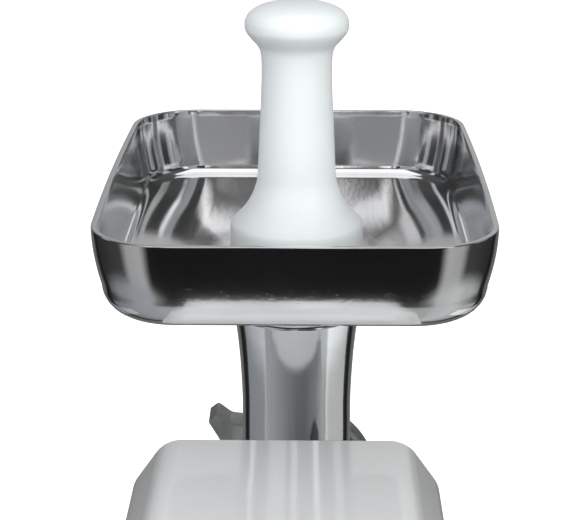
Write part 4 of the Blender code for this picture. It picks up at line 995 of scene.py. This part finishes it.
def make_feet():
    for i in range(1, 5):
        low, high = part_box(f"foot_{i}")
        radius = (high.x - low.x) / 2
        profile = [
            (radius - 0.0014, 0.0),
            (radius - 0.0006, 0.0004),
            (radius, 0.0015),
            (radius - 0.0008, high.z - 0.0004),
            (radius - 0.0012, high.z),
            (0.0023, high.z),
            (0.0023, 0.0050),
            (0.0048, 0.0050),
            (0.0048, 0.0004),
            (0.0052, 0.0),
        ]
        foot = turned(f"rubber_foot_{i}", profile, node_centre(f"foot_{i}", "Z"), "Z", SMALL_STEPS)
        stand_for(foot, f"foot_{i}")


def make_screw(node, axis, head_first, head_r, shank_r, head_height):
    """Pan-head screw with a cross recess. head_first is -1 if its head is at the low end of the axis."""
    low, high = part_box(node)
    near, far = (low.y, high.y) if axis == "Y" else (low.z, high.z)
    crown, tip = (near, far) if head_first < 0 else (far, near)
    way = 1.0 if tip > crown else -1.0
    profile = [
        (0.0, crown),
        (head_r * 0.55, crown + way * head_height * 0.05),
        (head_r * 0.85, crown + way * head_height * 0.25),
        (head_r, crown + way * head_height * 0.65),
        (head_r, crown + way * head_height),
        (shank_r, crown + way * head_height),
        (shank_r, tip - way * 0.0010),
        (shank_r * 0.4, tip),
        (0.0, tip),
    ]
    centre = node_centre(node, axis)
    screw = turned(node + "_body", profile, centre, axis, 32)
    arm, width, depth = head_r * 0.55, head_r * 0.11, head_height * 0.55
    span = sorted((crown - way * 0.001, crown + way * depth))
    cross = [
        prism("cross_a", [rectangle(arm, width, width * 0.4, centre, 2)], axis, span),
        prism("cross_b", [rectangle(width, arm, width * 0.4, centre, 2)], axis, span),
    ]
    cut(screw, *cross)
    return stand_for(smooth(screw, 40), node)


def make_screws():
    for i in range(1, 5):
        make_screw(f"foot_screw_{i}", "Z", -1, 0.0042, 0.0020, 0.0025)
        make_screw(f"cover_screw_{i}", "Y", 1, 0.0031, 0.0015, 0.0018)


def make_base_plate():
    middle = (BASE_LOW + BASE_HIGH) / 2
    half = (BASE_HIGH - BASE_LOW) / 2
    outlines = [rectangle(half.x, half.y, 0.002, (middle.x, middle.y), 5)]
    outlines += [circle(0.0023, node_centre(f"foot_{i}", "Z"), 24) for i in range(1, 5)]
    outlines += [rectangle(*BASE_VENT, (HOUSING_X, y), 5) for y in vent_rows(*BASE_VENT_ROWS)]
    plate = prism("base_panel", outlines, "Z", (BASE_LOW.z, BASE_HIGH.z))
    return stand_for(soften(plate, 0.0003, 2), "base_plate")


def make_gland():
    inner, outer = GLAND_LOW.y, GLAND_HIGH.y
    face = COVER_HIGH.y + GAP
    profile = [
        (0.0040, inner),
        (0.0082, inner),
        (0.0085, inner + 0.0004),
        (0.0085, COVER_LOW.y - GAP),
        (0.0060, COVER_LOW.y - GAP),
        (0.0060, face),
        (0.0080, face),
        (0.0085, face + 0.0005),
        (0.0084, face + 0.0018),
        (0.0078, face + 0.0026),
        (0.0074, face + 0.0030),
        (0.0074, face + 0.0038),
        (0.0068, face + 0.0042),
        (0.0066, face + 0.0052),
        (0.0062, face + 0.0056),
        (0.0058, outer - 0.0006),
        (0.0052, outer),
        (0.0040, outer),
        (0.0036, outer - 0.0004),
        (0.0036, inner + 0.0004),
    ]
    centre = ((GLAND_LOW.x + GLAND_HIGH.x) / 2, (GLAND_LOW.z + GLAND_HIGH.z) / 2)
    return stand_for(turned("gland_bush", profile, centre, "Y", 64), "cable_gland")


# ---------------------------------------------------------------- controls
def make_switch():
    middle = (SWITCH_LOW + SWITCH_HIGH) / 2
    centre = (middle.y, middle.z)
    half = (SWITCH_HIGH - SWITCH_LOW) / 2
    wall_out = SHELL_HIGH.x
    outline = rectangle(half.y, half.z, 0.003, centre)
    flange = prism("switch_flange", [outline], "X", (wall_out + GAP, SWITCH_HIGH.x))
    soften(flange, 0.0009, 3)
    case = box(
        "case",
        (SWITCH_LOW.x, middle.y - 0.020, middle.z - 0.011),
        (wall_out + 0.0012, middle.y + 0.020, middle.z + 0.011),
    )
    join(flange, case)
    cavity = rectangle(SWITCH_CAVITY_Y, SWITCH_CAVITY_Z, 0.0008, centre, 4)
    cut(flange, prism("cavity", [cavity], "X", (wall_out - 0.0095, wall_out + 0.010)))
    stand_for(smooth(flange, 40), "switch_body")
    make_rocker()


def make_rocker():
    """A rocker with a dished face."""
    low, high = ROCKER_LOW, ROCKER_HIGH
    middle = (low + high) / 2
    half_y = (high.y - low.y) / 2
    dish = ((0.0, -1.0), (0.0012, -0.5), (0.0017, 0.0), (0.0012, 0.5), (0.0, 1.0))
    top = spline([(high.x - depth, half_y * place) for depth, place in dish], 5)
    outline = [(low.x, middle.y - 0.006), (low.x + 0.0045, middle.y - half_y)]
    outline += [(x, middle.y + y) for x, y in top]
    outline += [(low.x + 0.0045, middle.y + half_y), (low.x, middle.y + 0.006)]
    rocker = prism("rocker_key", [outline], "Z", (low.z, high.z))
    soften(rocker, 0.0007, 3, 35)
    stand_for(rocker, "switch_rocker")


def make_button():
    front, rear = BUTTON_LOW.y, BUTTON_HIGH.y
    inner = SHELL_LOW.y + WALL + GAP
    profile = [
        (0.0, front + 0.0009),
        (0.0040, front + 0.0007),
        (0.0066, front + 0.0002),
        (0.0076, front),
        (0.0084, front + 0.0003),
        (0.0089, front + 0.0009),
        (0.0090, front + 0.0016),
        (0.0090, inner),
        (0.0115, inner),
        (0.0115, inner + 0.002),
        (0.0040, inner + 0.002),
        (0.0040, rear),
        (0.0, rear),
    ]
    return stand_for(turned("button_cap", profile, button_centre(), "Y", 96), "lock_button")


# ---------------------------------------------------------------- carried-over nodes
def paint_internals():
    """The mechanism inside keeps its CAD shapes and gets its materials."""
    for name, obj in frame["nodes"].items():
        if obj.hide_render:
            continue
        obj.data.materials.clear()
        obj.data.materials.append(MATERIALS[SLOT_OF[name]])


# ---------------------------------------------------------------- studio
def grey(level, tint=(1.0, 1.0, 1.0)):
    return tuple(level * channel for channel in tint)


COOL = (0.93, 0.985, 1.04)
FRESH = (0.96, 1.01, 1.0)
# What the pieces mirror, in bands from the table up to the ceiling. Each stop of a band is
# (share of the half turn from the camera's side to the far side, level).
TABLE_LEFT = (
    (0.00, grey(0.40)),
    (0.12, grey(0.38)),
    (0.22, grey(0.36, COOL)),
    (0.38, grey(0.34, COOL)),
    (0.52, grey(0.27, COOL)),
    (0.66, grey(0.20, COOL)),
    (0.71, grey(0.01)),
    (0.74, grey(0.01)),
    (0.80, grey(0.15)),
    (1.00, grey(0.18)),
)
TABLE_RIGHT = (
    (0.00, grey(0.40)),
    (0.12, grey(0.42)),
    (0.22, grey(0.52, FRESH)),
    (0.38, grey(0.58, FRESH)),
    (0.52, grey(0.46, FRESH)),
    (0.66, grey(0.38, FRESH)),
    (0.71, grey(0.02)),
    (0.74, grey(0.02)),
    (0.80, grey(0.15)),
    (1.00, grey(0.18)),
)
LOW = (
    (0.00, grey(0.010)),
    (0.14, grey(0.012)),
    (0.23, grey(0.42)),
    (0.33, grey(0.38)),
    (0.42, grey(0.05)),
    (0.66, grey(0.03)),
    (0.74, grey(0.01)),
    (0.82, grey(0.15)),
    (1.00, grey(0.22)),
)
HIGH_LEFT = (
    (0.000, grey(1.50)),
    (0.002, grey(1.50)),
    (0.007, grey(0.05)),
    (0.018, grey(0.05)),
    (0.023, grey(0.80)),
    (0.042, grey(0.80)),
    (0.052, grey(0.05)),
    (0.10, grey(0.06)),
    (0.13, grey(0.50, COOL)),
    (0.30, grey(0.45, COOL)),
    (0.34, grey(0.05)),
    (0.50, grey(0.05)),
    (0.54, grey(0.90, COOL)),
    (0.58, grey(0.85, COOL)),
    (0.62, grey(0.06)),
    (0.80, grey(0.12)),
    (0.90, grey(0.35, COOL)),
    (1.00, grey(0.42)),
)
HIGH_RIGHT = (
    (0.000, grey(1.50)),
    (0.005, grey(1.70)),
    (0.010, grey(0.05)),
    (0.185, grey(0.06)),
    (0.215, grey(1.20, FRESH)),
    (0.245, grey(1.10, FRESH)),
    (0.275, grey(0.05)),
    (0.44, grey(0.05)),
    (0.48, grey(0.50, FRESH)),
    (0.58, grey(0.50, FRESH)),
    (0.62, grey(0.06)),
    (0.80, grey(0.12)),
    (0.90, grey(0.45, FRESH)),
    (1.00, grey(0.45)),
)
CEILING = grey(0.10)
# blends by height, where 0 is straight down, 0.5 the horizon and 1 straight up
TABLE_EDGE = ((0.220, (0, 0, 0)), (0.270, (1, 1, 1)))
HORIZON = ((0.47, (0, 0, 0)), (0.54, (1, 1, 1)))
CEILING_EDGE = ((0.72, (0, 0, 0)), (0.85, (1, 1, 1)))


def softbox(name, place, aim, size, energy, colour=(1.0, 1.0, 1.0), mirrored=True):
    light = bpy.data.lights.new(name, "AREA")
    light.shape = "RECTANGLE"
    light.size, light.size_y = size
    light.energy = energy
    light.color = colour
    obj = bpy.data.objects.new(name, light)
    obj.location = place
    obj.rotation_euler = (Vector(aim) - Vector(place)).to_track_quat("-Z", "Y").to_euler()
    bpy.context.scene.collection.objects.link(obj)
    obj.visible_camera = False
    obj.visible_glossy = mirrored


def make_floor():
    bm = bmesh.new()
    bmesh.ops.create_grid(bm, x_segments=1, y_segments=1, size=4.0)
    floor = add_bmesh("studio_floor", bm)
    paint = Paint("studio_floor", (0.60, 0.60, 0.60), 0.7, Emission_Strength=0.95)
    paint.set("Emission Color", (1.0, 1.0, 1.0, 1.0))
    floor.data.materials.append(paint.material)
    floor.visible_glossy = False
    floor.visible_diffuse = False


def make_world():
    """White to the camera. Everything else sees a studio: dark behind the camera, pale at the sides.

    Levels follow the azimuth, from 0 at the camera's side round to 1 at the far side, by way of each flank.
    """
    world = bpy.data.worlds.new("studio")
    bpy.context.scene.world = world
    world.use_nodes = True
    tree = world.node_tree
    tree.nodes.clear()

    def node(kind, **settings):
        made = tree.nodes.new(kind)
        for key, value in settings.items():
            setattr(made, key, value)
        return made

    def math_node(operation, *values):
        made = node("ShaderNodeMath", operation=operation)
        for socket, value in zip(made.inputs, values, strict=False):
            if isinstance(value, (int, float)):
                socket.default_value = value
            else:
                tree.links.new(value, socket)
        return made.outputs["Value"]

    def ramp(source, stops):
        made = node("ShaderNodeValToRGB")
        made.color_ramp.interpolation = "EASE"
        elements = made.color_ramp.elements
        elements[0].position, elements[0].color = stops[0][0], (*stops[0][1], 1.0)
        elements[1].position, elements[1].color = stops[-1][0], (*stops[-1][1], 1.0)
        for position, colour in stops[1:-1]:
            elements.new(position).color = (*colour, 1.0)
        tree.links.new(source, made.inputs["Fac"])
        return made.outputs["Color"]

    def blend(factor, first, second):
        made = node("ShaderNodeMix", data_type="RGBA")
        tree.links.new(factor, made.inputs["Factor"])
        tree.links.new(first, made.inputs[6])
        tree.links.new(second, made.inputs[7])
        return made.outputs[2]

    direction = node("ShaderNodeTexCoord")
    split = node("ShaderNodeSeparateXYZ")
    tree.links.new(direction.outputs["Generated"], split.inputs["Vector"])
    x, y, z = (split.outputs[name] for name in "XYZ")
    azimuth = math_node("DIVIDE", math_node("ARCTAN2", math_node("ABSOLUTE", x), y), math.pi)
    flank = ramp(math_node("MULTIPLY_ADD", x, 0.5, 0.5), ((0.499, (0, 0, 0)), (0.501, (1, 1, 1))))
    height = math_node("MULTIPLY_ADD", z, 0.5, 0.5)
    table = blend(flank, ramp(azimuth, TABLE_RIGHT), ramp(azimuth, TABLE_LEFT))
    low = blend(ramp(height, TABLE_EDGE), table, ramp(azimuth, LOW))
    high = blend(flank, ramp(azimuth, HIGH_RIGHT), ramp(azimuth, HIGH_LEFT))
    ceiling = node("ShaderNodeRGB")
    ceiling.outputs["Color"].default_value = (*CEILING, 1.0)
    level = blend(ramp(height, HORIZON), low, high)
    level = blend(ramp(height, CEILING_EDGE), level, ceiling.outputs["Color"])
    room = node("ShaderNodeBackground")
    tree.links.new(level, room.inputs["Color"])
    seen = node("ShaderNodeBackground")
    seen.inputs["Color"].default_value = (1.0, 1.0, 1.0, 1.0)
    rays = node("ShaderNodeLightPath")
    mix = node("ShaderNodeMixShader")
    tree.links.new(rays.outputs["Is Camera Ray"], mix.inputs["Fac"])
    tree.links.new(room.outputs["Background"], mix.inputs[1])
    tree.links.new(seen.outputs["Background"], mix.inputs[2])
    tree.links.new(mix.outputs["Shader"], node("ShaderNodeOutputWorld").inputs["Surface"])


def make_studio():
    make_world()
    make_floor()
    middle = (0.0, -0.03, 0.2)
    softbox("overhead", (0.0, 0.10, 1.35), middle, (1.0, 1.2), 4.3)
    softbox("front", (0.0, 1.60, 0.45), (0.0, 0.0, 0.33), (1.8, 0.8), 8.5, mirrored=False)
    softbox("key", (-0.95, 0.74, 0.85), middle, (0.80, 0.95), 12.0, (0.97, 1.0, 0.99), False)
    softbox("fill", (0.95, 0.74, 0.85), middle, (0.80, 0.95), 8.5, (0.95, 0.98, 1.0), False)
    softbox("outlet", (0.35, -1.55, 0.60), middle, (1.5, 0.9), 7.0, mirrored=False)
    tube = (0.0, -0.07, 0.20)
    softbox("tube_left", (0.21, -0.075, 0.100), tube, (0.20, 0.06), 0.0088, (0.93, 0.98, 1.04))
    softbox("tube_right", (-0.21, -0.075, 0.100), tube, (0.20, 0.06), 0.0175, (0.97, 1.0, 0.99))


def make_camera():
    """Behind and above the machine, looking forward along its length and down at the tray."""
    camera = bpy.data.cameras.new("camera")
    camera.sensor_width = 36.0
    camera.lens = 101.9
    camera.clip_start = 0.01
    obj = bpy.data.objects.new("camera", camera)
    bpy.context.scene.collection.objects.link(obj)
    eye = Vector((-0.007, 0.627, 0.506))
    pitch = math.radians(18.84)
    yaw = 0.0131
    ahead = Vector((math.sin(yaw) * math.cos(pitch), -math.cos(yaw) * math.cos(pitch), -math.sin(pitch)))
    obj.location = eye
    obj.rotation_euler = ahead.to_track_quat("-Z", "Y").to_euler()
    bpy.context.scene.camera = obj


def clear_startup():
    for name in ("Cube", "Light", "Camera"):
        obj = bpy.data.objects.get(name)
        if obj:
            bpy.data.objects.remove(obj)


def build():
    clear_startup()
    make_camera()
    make_tray()
    make_pusher()
    make_head()
    make_ring_nut()
    make_cutting_plate()
    make_housing()
    make_rear_cover()
    make_collar()
    make_base_plate()
    make_feet()
    make_screws()
    make_gland()
    make_switch()
    make_button()
    paint_internals()
    make_studio()
    bpy.context.scene.view_settings.view_transform = "Standard"


build()

bpy.context.view_layer.update()
